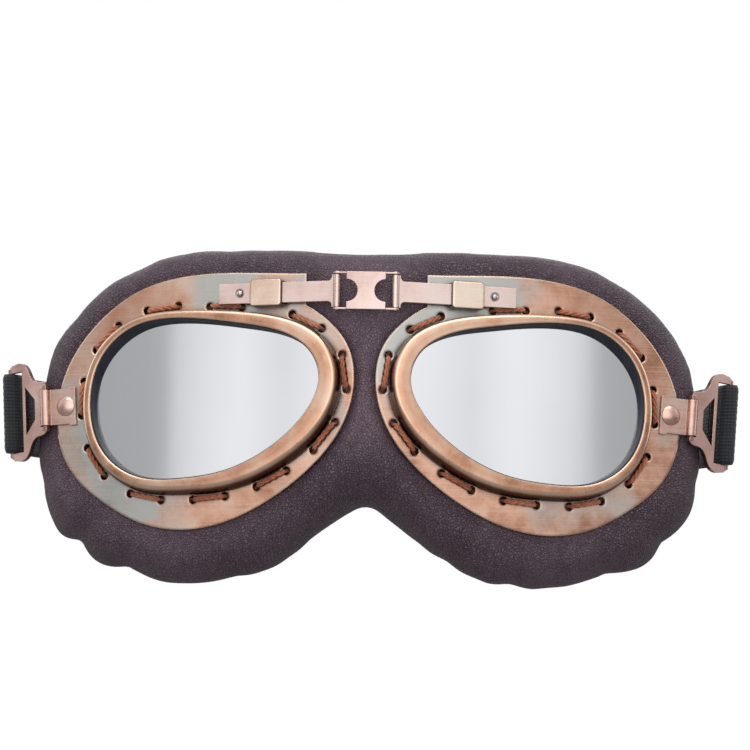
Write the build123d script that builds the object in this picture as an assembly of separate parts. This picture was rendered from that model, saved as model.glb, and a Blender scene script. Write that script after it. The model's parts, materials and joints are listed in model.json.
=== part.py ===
from build123d import *
from math import cos, hypot, radians, sin, tan
import os

# Motorcycle goggles, in millimetres. +Z is up, the lenses face -Y and the wearer's left is +X.
# The origin is the middle of the brow contact, on the back face of the mask.
# Each eyecup is drawn in its own cup frame: s runs outward from the nose, z up, h forward,
# with h = 0 on the front face of its frame plate. The wearer's right half is the mirror image.

# Whole object
WRAP = 17.0              # how far each eyecup turns back from the nose, degrees
APEX_Y = -24.0           # where the two plate planes would meet in front of the brow
FACE_RADIUS = 200.0      # the back of the mask follows a cylinder of this radius
NOSE_HALF = 9.0          # half width of the mask's nose part
SEAM_GAP = 0.2           # gap between the nose part and each eyecup's part of the mask

# Eyecup metalwork
PLATE_THICK = 1.0
PLATE_EASE = 0.6         # the plate's eye opening is this much larger than the rim's
RIM_HIGH = 5.2
RIM_WALL = 0.9
RIM_ROUND = 0.4
LIP_THICK = 0.9
LENS_BACK = 0.4
LENS_THICK = 1.4
GASKET_EDGE = 0.7        # how far the lens runs into the gasket's groove
GASKET_SHOW = 0.3        # the gasket shows this far inside the rim's opening

# Lacing
HOLE_R = 1.3
CORD_R = 0.8
LACE_OFFSET = 2.3        # lacing line outside the rim
LACE_SHIFT = (0.4, -0.5)
HOLE_COUNT = 22
KEEPER_SPAN = 16.6       # the longer span that passes under the keeper
FRONT_H = 0.85           # centre height of a front stitch
BACK_H = -3.3            # centre height of a back stitch
CHANNEL_OUT = 2.6        # room for the back stitches, outside and inside the lacing line
CHANNEL_IN = 2.8
CHANNEL_DEEP = 1.4       # and below the stitches' centres

# Bridge
BRIDGE_Z = 25.0
PIN_X = 8.7
PIN_R = 0.6
PIN_PLAY = 0.05
KNUCKLE_R = 1.1
PIN_HEAD_R = 1.1
PIN_HEAD_SUNK = 0.6
ARM_H = 2.4              # middle of the arm's thickness
ARM_THICK = 1.0
ARM_HIGH = 6.1
ARM_END = 46.0
T_HIGH = 9.8
T_END = 11.2
NECK_R = 1.4             # inside corner between the arm and its T-shaped end
BALL_S = 39.3
BALL_R = 1.05
BALL_RING = 0.35         # width of the recess round the ball
BALL_SUNK = 0.35
KEEPER_S = (25.7, 35.7)
KEEPER_HIGH = 8.2
KEEPER_WALL = 0.8
KEEPER_CORNER = 1.0
KEEPER_ROUND = 0.5
SLIDE_PLAY = 0.25
LINK_HALF = 5.8
LINK_HIGH = 11.2
LINK_CUT_R = 3.4
LINK_CUT_OUT = 0.1       # the side cuts are centred this far outside the link's edges
LINK_THICK = 0.8
FLANGE = 0.5
FLANGE_WALL = 0.2        # flange round the knuckle
FLANGE_DEEP = 1.3

# Strap tab and buckle
TAB_AT = (94.0, -8.0)
TAB_DROOP = 4.0          # the tab slopes down towards the temple
TAB_LONG = 9.6
TAB_HIGH = 11.0
TAB_THICK = 0.9
EAR_LONG = 2.4           # the tab's two small ears
EAR_OUT = 0.5
RIVET_IN = 3.3
RIVET_DOME_R = 5.2
RIVET_DOME_HIGH = 1.0
RIVET_SHANK_R = 1.2
RIVET_TAIL_R = 1.9
RIVET_TAIL = 0.5
BARREL_R = 1.7
BARREL_H = 0.9
BARREL_GAP = 0.6         # from the end of the leaf to the barrel's middle
BAR_R = 0.95
BAR_OVER = 1.5           # the bars run this far into the buckle's sides
BUCKLE_TURN = 25.0       # the buckle turns back from the plate plane at rest
BUCKLE_THICK = 1.4
STRAP_BAR_AT = 17.0      # from the buckle's hinge bar to its strap bar
STRAP_BAR_R = 1.0
SLOT_FROM = 10.8         # the strap slot starts this far from the hinge bar
SLOT_EASE = 0.2

# Strap
STRAP_HIGH = 25.0
STRAP_THICK = 1.6
LOOP_R = 1.2             # inside radius of the loop round the strap bar
LEG_LONG = 7.0
LEG_GAP = 0.4            # between the loop's legs and the band they are sewn to
HEAD_PATH = [(60.0, 160.0), (24.0, 190.0)]
HEAD_RADII = [62.0, 62.0]
ADJUSTER_AT = 110.0      # from the start of the strap
ADJUSTER_LONG = 11.0
ADJUSTER_GAP = 0.35      # clearance on each face of the strap
ADJUSTER_BAR = 1.6
ADJUSTER_THICK = 1.2
ADJUSTER_OVER = 2.0      # the slide stands this far above and below the strap
RETURN_GAP = 0.4         # between the band and the doubled end
RETURN_SHORT = 3.0       # the doubled end stops this far before the adjuster's middle

# Mask
SKIN = 1.3
EYE_EASE = 2.5           # the eye opening of the mask is this much larger than the rim's
ROLL_R = 7.0             # rounding of the mask's front outer edge

CUP = Plane(origin=(0, APEX_Y, 0),
            x_dir=(cos(radians(WRAP)), sin(radians(WRAP)), 0),
            z_dir=(sin(radians(WRAP)), -cos(radians(WRAP)), 0))

TAB = CUP * Location((TAB_AT[0], TAB_AT[1], 0), (0, 0, -TAB_DROOP))
BUCKLE = TAB * Location((TAB_LONG + BARREL_GAP, 0, BARREL_H), (0, BUCKLE_TURN, 0))

# Outlines in the cup frame, clockwise from the top inner corner
PLATE_CURVE = [(19.0, 30.9), (40.0, 31.8), (60.0, 31.0), (74.5, 26.9), (87.0, 18.1), (96.6, 5.5),
               (100.6, -13.0), (95.5, -28.0), (84.5, -37.5), (72.0, -43.8), (57.0, -46.0),
               (42.0, -43.0), (30.0, -37.2), (17.5, -28.0), (8.0, -16.8), (3.5, -3.0),
               (5.5, 8.8), (11.4, 16.2), (19.0, 21.3)]
RIM_CURVE = [(58.0, 20.3), (38.0, 19.4), (22.0, 16.4), (11.6, 10.0), (7.5, -0.5), (11.5, -13.6),
             (23.5, -24.8), (41.0, -32.5), (57.0, -34.2), (73.0, -32.7), (84.5, -24.6),
             (89.7, -8.0), (86.0, 7.6), (74.5, 17.6)]
OPENING_CURVE = [(58.0, 17.9), (38.0, 15.8), (22.5, 12.0), (15.0, 6.2), (12.7, -1.5), (16.6, -11.0),
                 (27.0, -21.0), (43.0, -28.7), (57.0, -30.9), (71.5, -30.0), (82.0, -23.0),
                 (87.0, -8.0), (83.5, 6.5), (73.5, 15.4)]
# Mask outline seen from the front, one half, from the brow down to the nose
MASK_CURVE = [(20.0, 39.4), (40.0, 40.3), (58.0, 39.4), (74.0, 34.8), (89.0, 24.8), (99.5, 10.5),
              (103.9, -12.0), (102.6, -32.0), (92.5, -47.6), (74.0, -58.0), (52.0, -61.5),
              (32.0, -58.6), (17.0, -49.0), (6.0, -40.8)]
BROW_Z = 37.9
NOTCH_Z = -38.0


def save(name, shape):
    """Write one sub-part."""
    export_step(shape, f"parts/{name}.step")


def save_pair(name, shape):
    """Write the wearer's left piece and its mirror image on the right."""
    save(f"{name}_left", shape)
    save(f"{name}_right", mirror(shape, about=Plane.YZ))


def closed(points):
    """A face inside a smooth closed curve."""
    return make_face(Spline(*points, periodic=True))


def grown(face, amount, steps=48):
    """The face with its smooth edge moved outward by amount."""
    edge = offset(face, amount).face().outer_wire()
    return closed([edge.position_at(i / steps) for i in range(steps)])


def slab(face, low, high):
    """A face of the cup frame's XY plane, thickened from h = low to h = high."""
    return extrude(Pos(0, 0, low) * face, high - low)


def in_cup(shape):
    return CUP * shape


RIM_FACE = closed(RIM_CURVE)
OPENING = closed(OPENING_CURVE)
BORE = grown(RIM_FACE, -RIM_WALL)
LACE_LINE = Pos(*LACE_SHIFT, 0) * grown(RIM_FACE, LACE_OFFSET)


def lace_points():
    """Centres of the lacing holes, evenly spaced but for the span under the keeper."""
    line = LACE_LINE.face().outer_wire()
    total = line.length
    keeper = ((KEEPER_S[0] + KEEPER_S[1]) / 2, BRIDGE_Z)
    steps = [i / 720 for i in range(720)]
    middle = min(steps, key=lambda t: hypot(line.position_at(t).X - keeper[0],
                                            line.position_at(t).Y - keeper[1]))
    ahead = line.position_at((middle + 0.01) % 1.0)
    turn = 1 if ahead.X > keeper[0] else -1
    step = (total - KEEPER_SPAN) / (HOLE_COUNT - 1)
    points = []
    for i in range(HOLE_COUNT):
        along = (KEEPER_SPAN / 2 + i * step) / total
        spot = line.position_at((middle + turn * along) % 1.0)
        points.append((spot.X, spot.Y))
    return points


HOLES = lace_points()


def rivet_room(radius, depth):
    """A round hole for the tab's rivet, from the plate's front back to depth."""
    return TAB * Pos(RIVET_IN, 0, -depth / 2) * Cylinder(radius, depth)


def frame_plate():
    face = make_face(Spline(*PLATE_CURVE) + Line(PLATE_CURVE[-1], PLATE_CURVE[0]))
    face -= grown(OPENING, PLATE_EASE)
    face -= [Pos(s, z) * Circle(HOLE_R) for s, z in HOLES]
    return in_cup(slab(face, -PLATE_THICK, 0)) - rivet_room(RIVET_SHANK_R, PLATE_THICK)


def lens_rim():
    wall = slab(RIM_FACE - BORE, 0, RIM_HIGH)
    lip = slab(RIM_FACE - OPENING, RIM_HIGH - LIP_THICK, RIM_HIGH)
    rim = wall + lip
    top = rim.edges().filter_by(lambda e: e.center().Z > RIM_HIGH - 0.01)
    return in_cup(fillet(top, RIM_ROUND))


def lens():
    return in_cup(slab(grown(OPENING, GASKET_EDGE), LENS_BACK, LENS_BACK + LENS_THICK))


def lens_gasket():
    body = slab(BORE - grown(OPENING, -GASKET_SHOW), 0, RIM_HIGH - LIP_THICK)
    seat = slab(grown(OPENING, GASKET_EDGE), LENS_BACK, LENS_BACK + LENS_THICK)
    return in_cup(body - seat)


def keeper():
    s0, s1 = KEEPER_S
    middle = (s0 + s1) / 2
    channel = (ARM_H - ARM_THICK / 2 - SLIDE_PLAY, ARM_H + ARM_THICK / 2 + SLIDE_PLAY)
    front = channel[1] + KEEPER_WALL
    body = slab(Pos(middle, BRIDGE_Z) * RectangleRounded(s1 - s0, KEEPER_HIGH, KEEPER_CORNER), 0, front)
    body = fillet(body.edges().filter_by(lambda e: e.center().Z > front - 0.01), KEEPER_ROUND)
    slot = slab(Pos(middle, BRIDGE_Z) * Rectangle(s1 - s0 + 2, ARM_HIGH + 2 * SLIDE_PLAY), *channel)
    return in_cup(body - slot)


def pin_in_cup():
    """The hinge pin's place in the cup frame."""
    s = (PIN_X - ARM_H * sin(radians(WRAP))) / cos(radians(WRAP))
    return s, ARM_H


def bridge_arm():
    s_pin, h_pin = pin_in_cup()
    low, high = ARM_H - ARM_THICK / 2, ARM_H + ARM_THICK / 2
    t_square = T_END - NECK_R
    face = Pos((s_pin + ARM_END) / 2, BRIDGE_Z) * Rectangle(ARM_END - s_pin, ARM_HIGH)
    face += Pos((s_pin + t_square) / 2, BRIDGE_Z) * Rectangle(t_square - s_pin, T_HIGH)
    for side in (-1, 1):
        edge = BRIDGE_Z + side * ARM_HIGH / 2
        corner = Pos(T_END - NECK_R / 2, edge + side * NECK_R / 2) * Rectangle(NECK_R, NECK_R)
        face += corner - Pos(T_END, edge + side * NECK_R) * Circle(NECK_R)
    arm = slab(face, low, high)
    knuckle = Pos(s_pin, BRIDGE_Z, h_pin) * Rot(90, 0, 0) * Cylinder(KNUCKLE_R, T_HIGH)
    bore = Pos(s_pin, BRIDGE_Z, h_pin) * Rot(90, 0, 0) * Cylinder(PIN_R + PIN_PLAY, 2 * T_HIGH)
    arm = arm + knuckle - bore
    recess = Pos(BALL_S, BRIDGE_Z, high) * Cylinder(BALL_R + BALL_RING, 2 * BALL_SUNK)
    return in_cup(arm - recess - Pos(BALL_S, BRIDGE_Z, ARM_H) * Sphere(BALL_R))


def arm_stop_ball():
    return in_cup(Pos(BALL_S, BRIDGE_Z, ARM_H) * Sphere(BALL_R))


def pin_place():
    s_pin, h_pin = pin_in_cup()
    spot = CUP.from_local_coords(Vector(s_pin, BRIDGE_Z, h_pin))
    return spot.X, spot.Y


def bridge_link():
    """A waisted front plate whose top and bottom flanges carry the two hinge pins."""
    x_pin, y_pin = pin_place()
    deep = KNUCKLE_R + LINK_THICK
    face = Rectangle(2 * LINK_HALF, LINK_HIGH)
    face -= [Pos(side * (LINK_HALF + LINK_CUT_OUT), 0) * Circle(LINK_CUT_R) for side in (-1, 1)]
    plate = Pos(0, y_pin - KNUCKLE_R, BRIDGE_Z) * Rot(90, 0, 0) * extrude(face, LINK_THICK)
    ear = Pos(0, -deep / 2) * Rectangle(2 * LINK_HALF, deep)
    ear += Pos(0, -FLANGE_DEEP / 2) * Rectangle(2 * x_pin, FLANGE_DEEP)
    ear += [Pos(side * x_pin, 0) * Circle(KNUCKLE_R + FLANGE_WALL) for side in (-1, 1)]
    ear -= [Pos(side * x_pin, 0) * Circle(PIN_R) for side in (-1, 1)]
    link = plate
    for side in (-1, 1):
        level = BRIDGE_Z + side * (LINK_HIGH - FLANGE) / 2 - FLANGE / 2
        link += Pos(0, y_pin, level) * extrude(ear, FLANGE)
    return link


def hinge_pin():
    """A pin with a domed head at each end, riveted into the link's flanges."""
    x_pin, y_pin = pin_place()
    pin = Cylinder(PIN_R, LINK_HIGH)
    for side in (-1, 1):
        cap = Pos(0, 0, side * (PIN_HEAD_SUNK + PIN_HEAD_R)) * Box(4, 4, 2 * PIN_HEAD_R)
        pin += Pos(0, 0, side * (LINK_HIGH / 2 - PIN_HEAD_SUNK)) * (Sphere(PIN_HEAD_R) & cap)
    return Pos(x_pin, y_pin, BRIDGE_Z) * pin


def strap_tab():
    """A riveted leaf with two ears, rolled into a barrel round the buckle's hinge bar."""
    face = Pos(TAB_LONG / 2, 0) * Rectangle(TAB_LONG, TAB_HIGH)
    face += Pos(EAR_LONG / 2, 0) * RectangleRounded(EAR_LONG, TAB_HIGH + 2 * EAR_OUT, EAR_OUT)
    leaf = extrude(face, TAB_THICK)
    axis = Pos(TAB_LONG + BARREL_GAP, 0, BARREL_H) * Rot(90, 0, 0)
    barrel = axis * Cylinder(BARREL_R, TAB_HIGH)
    bore = axis * Cylinder(BAR_R + PIN_PLAY, 2 * TAB_HIGH)
    rivet = Pos(RIVET_IN, 0) * Cylinder(RIVET_SHANK_R, 6)
    return TAB * (leaf + barrel - bore - rivet)


def tab_rivet():
    """A domed rivet whose shank is headed over behind the plate."""
    above = Pos(0, 0, TAB_THICK + RIVET_DOME_HIGH) * Box(9, 9, 2 * RIVET_DOME_HIGH)
    dome = Pos(0, 0, TAB_THICK + RIVET_DOME_HIGH - RIVET_DOME_R) * Sphere(RIVET_DOME_R) & above
    shank = Pos(0, 0, (TAB_THICK - PLATE_THICK) / 2) * Cylinder(RIVET_SHANK_R, TAB_THICK + PLATE_THICK)
    tail = Pos(0, 0, -PLATE_THICK - RIVET_TAIL / 2) * Cylinder(RIVET_TAIL_R, RIVET_TAIL)
    return TAB * Pos(RIVET_IN, 0, 0) * (dome + shank + tail)


def buckle():
    """A flat Y that spreads from its hinge bar to two horns, which carry the strap bar."""
    root, horn = (-1.0, 5.9), (14.2, 15.2)
    tip = (STRAP_BAR_AT, 14.2)
    flare = Spline(root, (-0.6, 7.6), (1.6, 8.4), (4.4, 8.8), (6.6, 10.6), (8.6, 13.8), (10.6, 15.1), horn)
    rest = Polyline(horn, (15.6, 15.1), tip, (tip[0], 0), (root[0], 0), root)
    face = make_face(flare + rest)
    face += mirror(face, about=Plane.XZ)
    face -= Pos(-2.5 + (BARREL_R + 0.3), 0) * Rectangle(5.0, TAB_HIGH + 0.6)
    window = make_face(Polyline((4.6, 3.1), (9.5, 7.7), (9.5, -7.7), (4.6, -3.1), close=True))
    slot_long = STRAP_BAR_AT + 1.0 - SLOT_FROM
    slot = Pos(SLOT_FROM + slot_long / 2, 0) * Rectangle(slot_long, STRAP_HIGH + 2 * SLOT_EASE)
    body = extrude(Pos(0, 0, -BUCKLE_THICK / 2) * (face - window - slot), BUCKLE_THICK)
    body += Rot(90, 0, 0) * Cylinder(BAR_R, TAB_HIGH + 2 * BAR_OVER)
    body += Pos(STRAP_BAR_AT, 0, 0) * Rot(90, 0, 0) * Cylinder(STRAP_BAR_R, STRAP_HIGH + 2 * BAR_OVER)
    return BUCKLE * body


def strap_bar_place():
    """World place of the middle of the strap bar."""
    spot = (BUCKLE * Pos(STRAP_BAR_AT, 0, 0)).position
    return spot.X, spot.Y, spot.Z


BAR_X, BAR_Y, STRAP_Z = strap_bar_place()
RUN = Vector(HEAD_PATH[0][0] - BAR_X, HEAD_PATH[0][1] - BAR_Y).normalized()
OUT = Vector(RUN.Y, -RUN.X)
LAYER = LOOP_R + STRAP_THICK / 2      # from the bar's middle to the middle of each strap layer


def strap_spot(along, across):
    """A point of the plan beside the strap bar: along the strap and outward across it."""
    return (BAR_X + along * RUN.X + across * OUT.X, BAR_Y + along * RUN.Y + across * OUT.Y)


def upright(face, high):
    """A face of the plan, raised to stand centred on the strap."""
    return extrude(Pos(0, 0, STRAP_Z - high / 2) * face, high)


def strap_loop():
    """The strap's turn round the bar, with its two legs. It leans with the buckle's bar."""
    bar = BUCKLE * Pos(STRAP_BAR_AT, 0, 0)
    up = (BUCKLE * Rot(-90, 0, 0)).z_axis.direction
    lean = Plane(bar.position, x_dir=(RUN.X, RUN.Y, 0), z_dir=up)
    ring = Circle(LOOP_R + STRAP_THICK) - Circle(LOOP_R)
    ring -= Pos(2 * LAYER, 0) * Rectangle(4 * LAYER, 4 * LAYER)
    ring += [Pos(LEG_LONG / 2, side * LAYER) * Rectangle(LEG_LONG, STRAP_THICK) for side in (-1, 1)]
    return lean * extrude(Pos(0, 0, -STRAP_HIGH / 2) * ring, STRAP_HIGH)


def strap_path():
    start = strap_spot(LEG_LONG + LEG_GAP, LAYER)
    half = [start] + HEAD_PATH
    points = half + [(-x, y) for x, y in reversed(half)]
    radii = HEAD_RADII + HEAD_RADII[::-1]
    return FilletPolyline(*points, radius=radii)


def strap_band():
    path = Pos(0, 0, STRAP_Z) * strap_path()
    section = Plane(origin=path @ 0, z_dir=path % 0, x_dir=(0, 0, 1)) * Rectangle(STRAP_HIGH, STRAP_THICK)
    return sweep(section, path)


def band_direction():
    """Unit vector of the band's first straight run."""
    start = strap_spot(LEG_LONG + LEG_GAP, LAYER)
    return start, (Vector(*HEAD_PATH[0]) - Vector(*start)).normalized()


def beside_band(along, across):
    start, run = band_direction()
    return (start[0] + along * run.X + across * run.Y, start[1] + along * run.Y - across * run.X)


def band_strip(start, end, across, thick):
    reach = thick / 2
    return make_face(Polyline(beside_band(start, across - reach), beside_band(end, across - reach),
                              beside_band(end, across + reach), beside_band(start, across + reach),
                              close=True))


def strap_return():
    """The doubled end that runs back from the left buckle to the adjuster's middle bar."""
    end = ADJUSTER_AT - RETURN_SHORT
    near = -STRAP_THICK / 2 - RETURN_GAP
    face = make_face(Polyline(
        strap_spot(LEG_LONG + LEG_GAP, -LAYER - STRAP_THICK / 2),
        beside_band(end, near - STRAP_THICK),
        beside_band(end, near),
        strap_spot(LEG_LONG + LEG_GAP, -LAYER + STRAP_THICK / 2), close=True))
    return upright(face, STRAP_HIGH)


def strap_adjuster():
    """A three-bar slide: the strap passes inside the two side bars and outside the middle one."""
    clear = STRAP_THICK / 2 + ADJUSTER_GAP
    across = clear + ADJUSTER_THICK / 2
    first, last = ADJUSTER_AT - ADJUSTER_LONG / 2, ADJUSTER_AT + ADJUSTER_LONG / 2
    bars = band_strip(first, first + ADJUSTER_BAR, across, ADJUSTER_THICK)
    bars += band_strip(last - ADJUSTER_BAR, last, across, ADJUSTER_THICK)
    bars += band_strip(ADJUSTER_AT - 1.0, ADJUSTER_AT + 1.0, -across, ADJUSTER_THICK)
    body = upright(bars, STRAP_HIGH + 2 * ADJUSTER_OVER)
    rail = extrude(band_strip(first, last, 0, 2 * (clear + ADJUSTER_THICK)), 1.5)
    for side in (-1, 1):
        body += Pos(0, 0, STRAP_Z + side * (STRAP_HIGH / 2 + 1.25) - 0.75) * rail
    return body


def lacing():
    """One closed running stitch: 11 stitches in front of the plate and 11 behind it."""
    cord = None
    for i, (s, z) in enumerate(HOLES):
        t, y = HOLES[(i + 1) % HOLE_COUNT]
        level = BACK_H if i % 2 else FRONT_H
        run = hypot(t - s, y - z)
        post = Pos(s, z, (FRONT_H + BACK_H) / 2) * Cylinder(CORD_R, FRONT_H - BACK_H)
        lay = Plane(origin=(s, z, level), z_dir=(t - s, y - z, 0))
        span = lay * Pos(0, 0, run / 2) * Cylinder(CORD_R, run)
        knots = [Pos(s, z, level) * Sphere(CORD_R), Pos(t, y, level) * Sphere(CORD_R)]
        piece = span + post + knots
        cord = piece if cord is None else cord + piece
    return in_cup(cord)


def mask_outline():
    half = MASK_CURVE
    points = [(0, BROW_Z)] + half + [(0, NOTCH_Z)] + [(-x, z) for x, z in reversed(half)]
    return closed(points)


def behind_plates(depth):
    """Everything behind the two cup planes, pushed back by depth."""
    reach = 150.0
    y0 = APEX_Y + depth / cos(radians(WRAP))
    rise = reach * tan(radians(WRAP))
    face = make_face(Polyline((0, y0), (reach, y0 + rise), (reach, 120), (-reach, 120),
                              (-reach, y0 + rise), close=True))
    return extrude(Pos(0, 0, -80) * face, 160)


def before_face(ease):
    """Everything in front of the face cylinder, pulled forward by ease."""
    head = Pos(0, FACE_RADIUS, 0) * Cylinder(FACE_RADIUS + ease, 200)
    return Box(300, 200, 160) - head


def prism(face):
    """The front-view face, run through the whole depth of the mask."""
    return Pos(0, 60, 0) * Rot(90, 0, 0) * extrude(face, 120)


def both(shape):
    return shape + mirror(shape, about=Plane.YZ)


def eye_openings():
    hole = in_cup(slab(grown(OPENING, EYE_EASE), -60, 0))
    return both(hole)


def lace_channel():
    """Room behind the hem for the back stitches."""
    ring = grown(LACE_LINE, CHANNEL_OUT) - grown(LACE_LINE, -CHANNEL_IN)
    return both(in_cup(slab(ring, BACK_H - CHANNEL_DEEP, -PLATE_THICK - SKIN + 0.1)))


def lace_clearance():
    """Holes in the hem where the cord passes through."""
    posts = [Pos(s, z, -2.0) * Cylinder(HOLE_R, 4) for s, z in HOLES]
    return both(in_cup(Compound(posts)))


def rolled(outline, depth, radius):
    """The mask's front-view face run back from the plates, its front outer edge rounded."""
    half = prism(outline) & behind_plates(depth) & Pos(75, 0, 0) * Box(150, 200, 200)
    y0 = APEX_Y + depth / cos(radians(WRAP))
    front = [e for e in half.edges()
             if (e @ 0.5).X > 1 and abs(y0 + (e @ 0.5).X * tan(radians(WRAP)) - (e @ 0.5).Y) < 0.05]
    return both(fillet(front, radius))


def mask_layers():
    """The leather cover, the foam inside it and the fleece lining on its back."""
    outline = mask_outline()
    body = rolled(outline, PLATE_THICK, ROLL_R) & before_face(0)
    core = rolled(grown(outline, -SKIN, 90), PLATE_THICK + SKIN, ROLL_R - SKIN)
    eyes = eye_openings()
    rivets = both(rivet_room(RIVET_TAIL_R + 0.1, PLATE_THICK + RIVET_TAIL + 0.1))
    cover = body - core - eyes - lace_clearance() - rivets
    lining = (core & before_face(0)) - before_face(SKIN) - eyes
    foam = (core & before_face(SKIN + 0.05)) - eyes - lace_channel()
    return cover, foam, lining


def clip(shape, low, high):
    return shape & Pos((low + high) / 2, 0, 0) * Box(high - low, 300, 300)


if __name__ == "__main__":
    os.makedirs("parts", exist_ok=True)
    save_pair("frame_plate", frame_plate())
    save_pair("lens_rim", lens_rim())
    save_pair("lens", lens())
    save_pair("lens_gasket", lens_gasket())
    save_pair("keeper", keeper())
    save_pair("bridge_arm", bridge_arm())
    save_pair("arm_stop_ball", arm_stop_ball())
    save_pair("hinge_pin", hinge_pin())
    save_pair("strap_tab", strap_tab())
    save_pair("tab_rivet", tab_rivet())
    save_pair("buckle", buckle())
    save_pair("strap_loop", strap_loop())
    save_pair("lacing", lacing())
    save("bridge_link", bridge_link())
    save("strap_band", strap_band())
    save("strap_return", strap_return())
    save("strap_adjuster", strap_adjuster())
    for name, layer in zip(("mask_cover", "mask_foam", "mask_lining"), mask_layers()):
        save(f"{name}_nose", clip(layer, -NOSE_HALF, NOSE_HALF))
        save_pair(name, clip(layer, NOSE_HALF + SEAM_GAP, 150))
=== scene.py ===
import json
from contextlib import contextmanager
from math import cos, pi, radians, sin, tan

import bmesh
import bpy
import numpy as np
from mathutils import Matrix, Vector, noise


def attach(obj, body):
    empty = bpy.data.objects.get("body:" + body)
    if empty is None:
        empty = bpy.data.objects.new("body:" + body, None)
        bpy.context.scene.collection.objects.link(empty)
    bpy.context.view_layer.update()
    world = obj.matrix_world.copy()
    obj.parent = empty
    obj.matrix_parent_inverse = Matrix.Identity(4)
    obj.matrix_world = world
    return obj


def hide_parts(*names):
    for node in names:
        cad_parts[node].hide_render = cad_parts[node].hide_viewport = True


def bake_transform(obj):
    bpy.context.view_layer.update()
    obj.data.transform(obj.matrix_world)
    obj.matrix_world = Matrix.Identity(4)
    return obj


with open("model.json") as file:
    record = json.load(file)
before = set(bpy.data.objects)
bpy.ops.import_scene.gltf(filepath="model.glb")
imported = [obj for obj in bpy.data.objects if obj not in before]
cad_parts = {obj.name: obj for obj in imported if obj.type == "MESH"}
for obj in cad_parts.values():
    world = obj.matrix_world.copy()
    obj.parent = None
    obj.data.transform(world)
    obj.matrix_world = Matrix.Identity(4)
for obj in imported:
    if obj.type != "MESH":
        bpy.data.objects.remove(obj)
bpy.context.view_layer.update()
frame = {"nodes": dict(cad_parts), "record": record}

MM = 0.001

# The frame's driving dimensions, in millimetres, as the CAD model has them. A cup's own frame is
# s along the plate, z up and h in front of the plate's face
WRAP = radians(17.0)
APEX_Y = -24.0
FACE_RADIUS = 200.0
PLATE_THICK = 1.0
RIM_HIGH = 5.2
RIM_WALL = 0.9
LIP_THICK = 0.9
LACE_OFFSET = 2.3
LACE_SHIFT = np.array((0.4, -0.5))
HOLE_COUNT = 22
KEEPER_SPAN = 16.6
KEEPER_AT = np.array((30.7, 25.0))
STRAP_HIGH = 25.0
STRAP_THICK = 1.6
LOOP_R = 1.2
LEG_LONG = 7.0
LEG_GAP = 0.4
HEAD_PATH = ((60.0, 160.0), (24.0, 190.0))
HEAD_FILLET = 62.0

# The cord: its levels in front of and behind the plate, and its twisted strands
FRONT_H = 0.85
BACK_H = -3.3
CORD_TWIST = 6.5
CORD_STEPS = 1800
STRAND_COUNT = 3
STRAND_SIDES = 8
STRAND_WIDE, STRAND_DEEP = 0.44, 0.40
STRAND_ASIDE, STRAND_LIFT = 0.40, 0.24

# The rubber wedge's reach inward at its foot, and how much more at the outer upper side, where the extra
# width is partly real rubber and partly stands in for the dark band that the lens reflects there
GASKET_FOOT = 0.5
GASKET_LEAN = 1.7

# Steps between two points of a curve, and points round the rim's skin and the gasket's
CURVE_STEPS = 40
RIM_POINTS = 240

# The mask: its block, its eye holes, its layers, and what its rolled edge keeps of its thickness
BLOCK_HALF = 9.0
VOXEL = 1.5
EYE_EASE = 2.5
EYE_LEVEL = -8.0
LEATHER_THICK = 0.8
PAD_LIP = 0.9
BACK_ROUND = 3.4
EDGE_THICK = 2.4
LUMP_COUNT = 22

# The strap's ribs, and the stitches of its sewn end
RIBS = 24
STITCH_COUNT = 9
STITCH_STEP = 2.6
STITCH_LONG = 1.9
STITCH_R = 0.22
STITCH_ROWS = (1.6, 3.4, 5.2)
STITCH_BENDS, STITCH_SIDES = 7, 6

# Where the mask's pieces meet, and where they start to follow the arms, in x
NOSE_CUT = 10.0
SLIDE_EASE = 24.0

# Lengths along the strap and its doubled end at which they pass from one body to the next
BUCKLE_END = 16.0
CUP_END = 24.0
SIDE_END = 98.0
RETURN_BEND = 68.0
RETURN_END = 104.0

# The doubled end's own line, the strap's mesh step, and where its UVs start across and along
RETURN_EASE = 14.0
RETURN_LINE = 106.0
STRAP_STEP = 1.5
UV_ACROSS = 40.0
RETURN_UV = 300.0

RIM_CURVE = [(58.0, 20.3), (38.0, 19.4), (22.0, 16.4), (11.6, 10.0), (7.5, -0.5), (11.5, -13.6),
             (23.5, -24.8), (41.0, -32.5), (57.0, -34.2), (73.0, -32.7), (84.5, -24.6),
             (89.7, -8.0), (86.0, 7.6), (74.5, 17.6)]
OPENING_CURVE = [(58.0, 17.9), (38.0, 15.8), (22.5, 12.0), (15.0, 6.2), (12.7, -1.5), (16.6, -11.0),
                 (27.0, -21.0), (43.0, -28.7), (57.0, -30.9), (71.5, -30.0), (82.0, -23.0),
                 (87.0, -8.0), (83.5, 6.5), (73.5, 15.4)]
PLATE_CURVE = [(19.0, 30.9), (40.0, 31.8), (60.0, 31.0), (74.5, 26.9), (87.0, 18.1), (96.6, 5.5),
               (100.6, -13.0), (95.5, -28.0), (84.5, -37.5), (72.0, -43.8), (57.0, -46.0),
               (42.0, -43.0), (30.0, -37.2), (17.5, -28.0), (8.0, -16.8), (3.5, -3.0),
               (5.5, 8.8), (11.4, 16.2)]
MASK_CURVE = [(20.0, 39.4), (40.0, 40.3), (58.0, 39.4), (74.0, 34.8), (89.0, 24.8), (99.5, 10.5),
              (103.9, -12.0), (102.6, -32.0), (92.5, -47.6), (74.0, -58.0), (52.0, -61.5),
              (32.0, -58.6), (17.0, -49.0), (6.0, -40.8)]
BROW_Z = 37.9
NOTCH_Z = -38.0

# The camera's place and turn, from the view in front of the nose
CAMERA_DISTANCE = 600.0
CAMERA_YAW = radians(1.64)
CAMERA_PITCH = radians(-6.0)
CAMERA_ROLL = radians(1.02)
CAMERA_ASIDE = -3.05
CAMERA_LENS = 97.6

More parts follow.
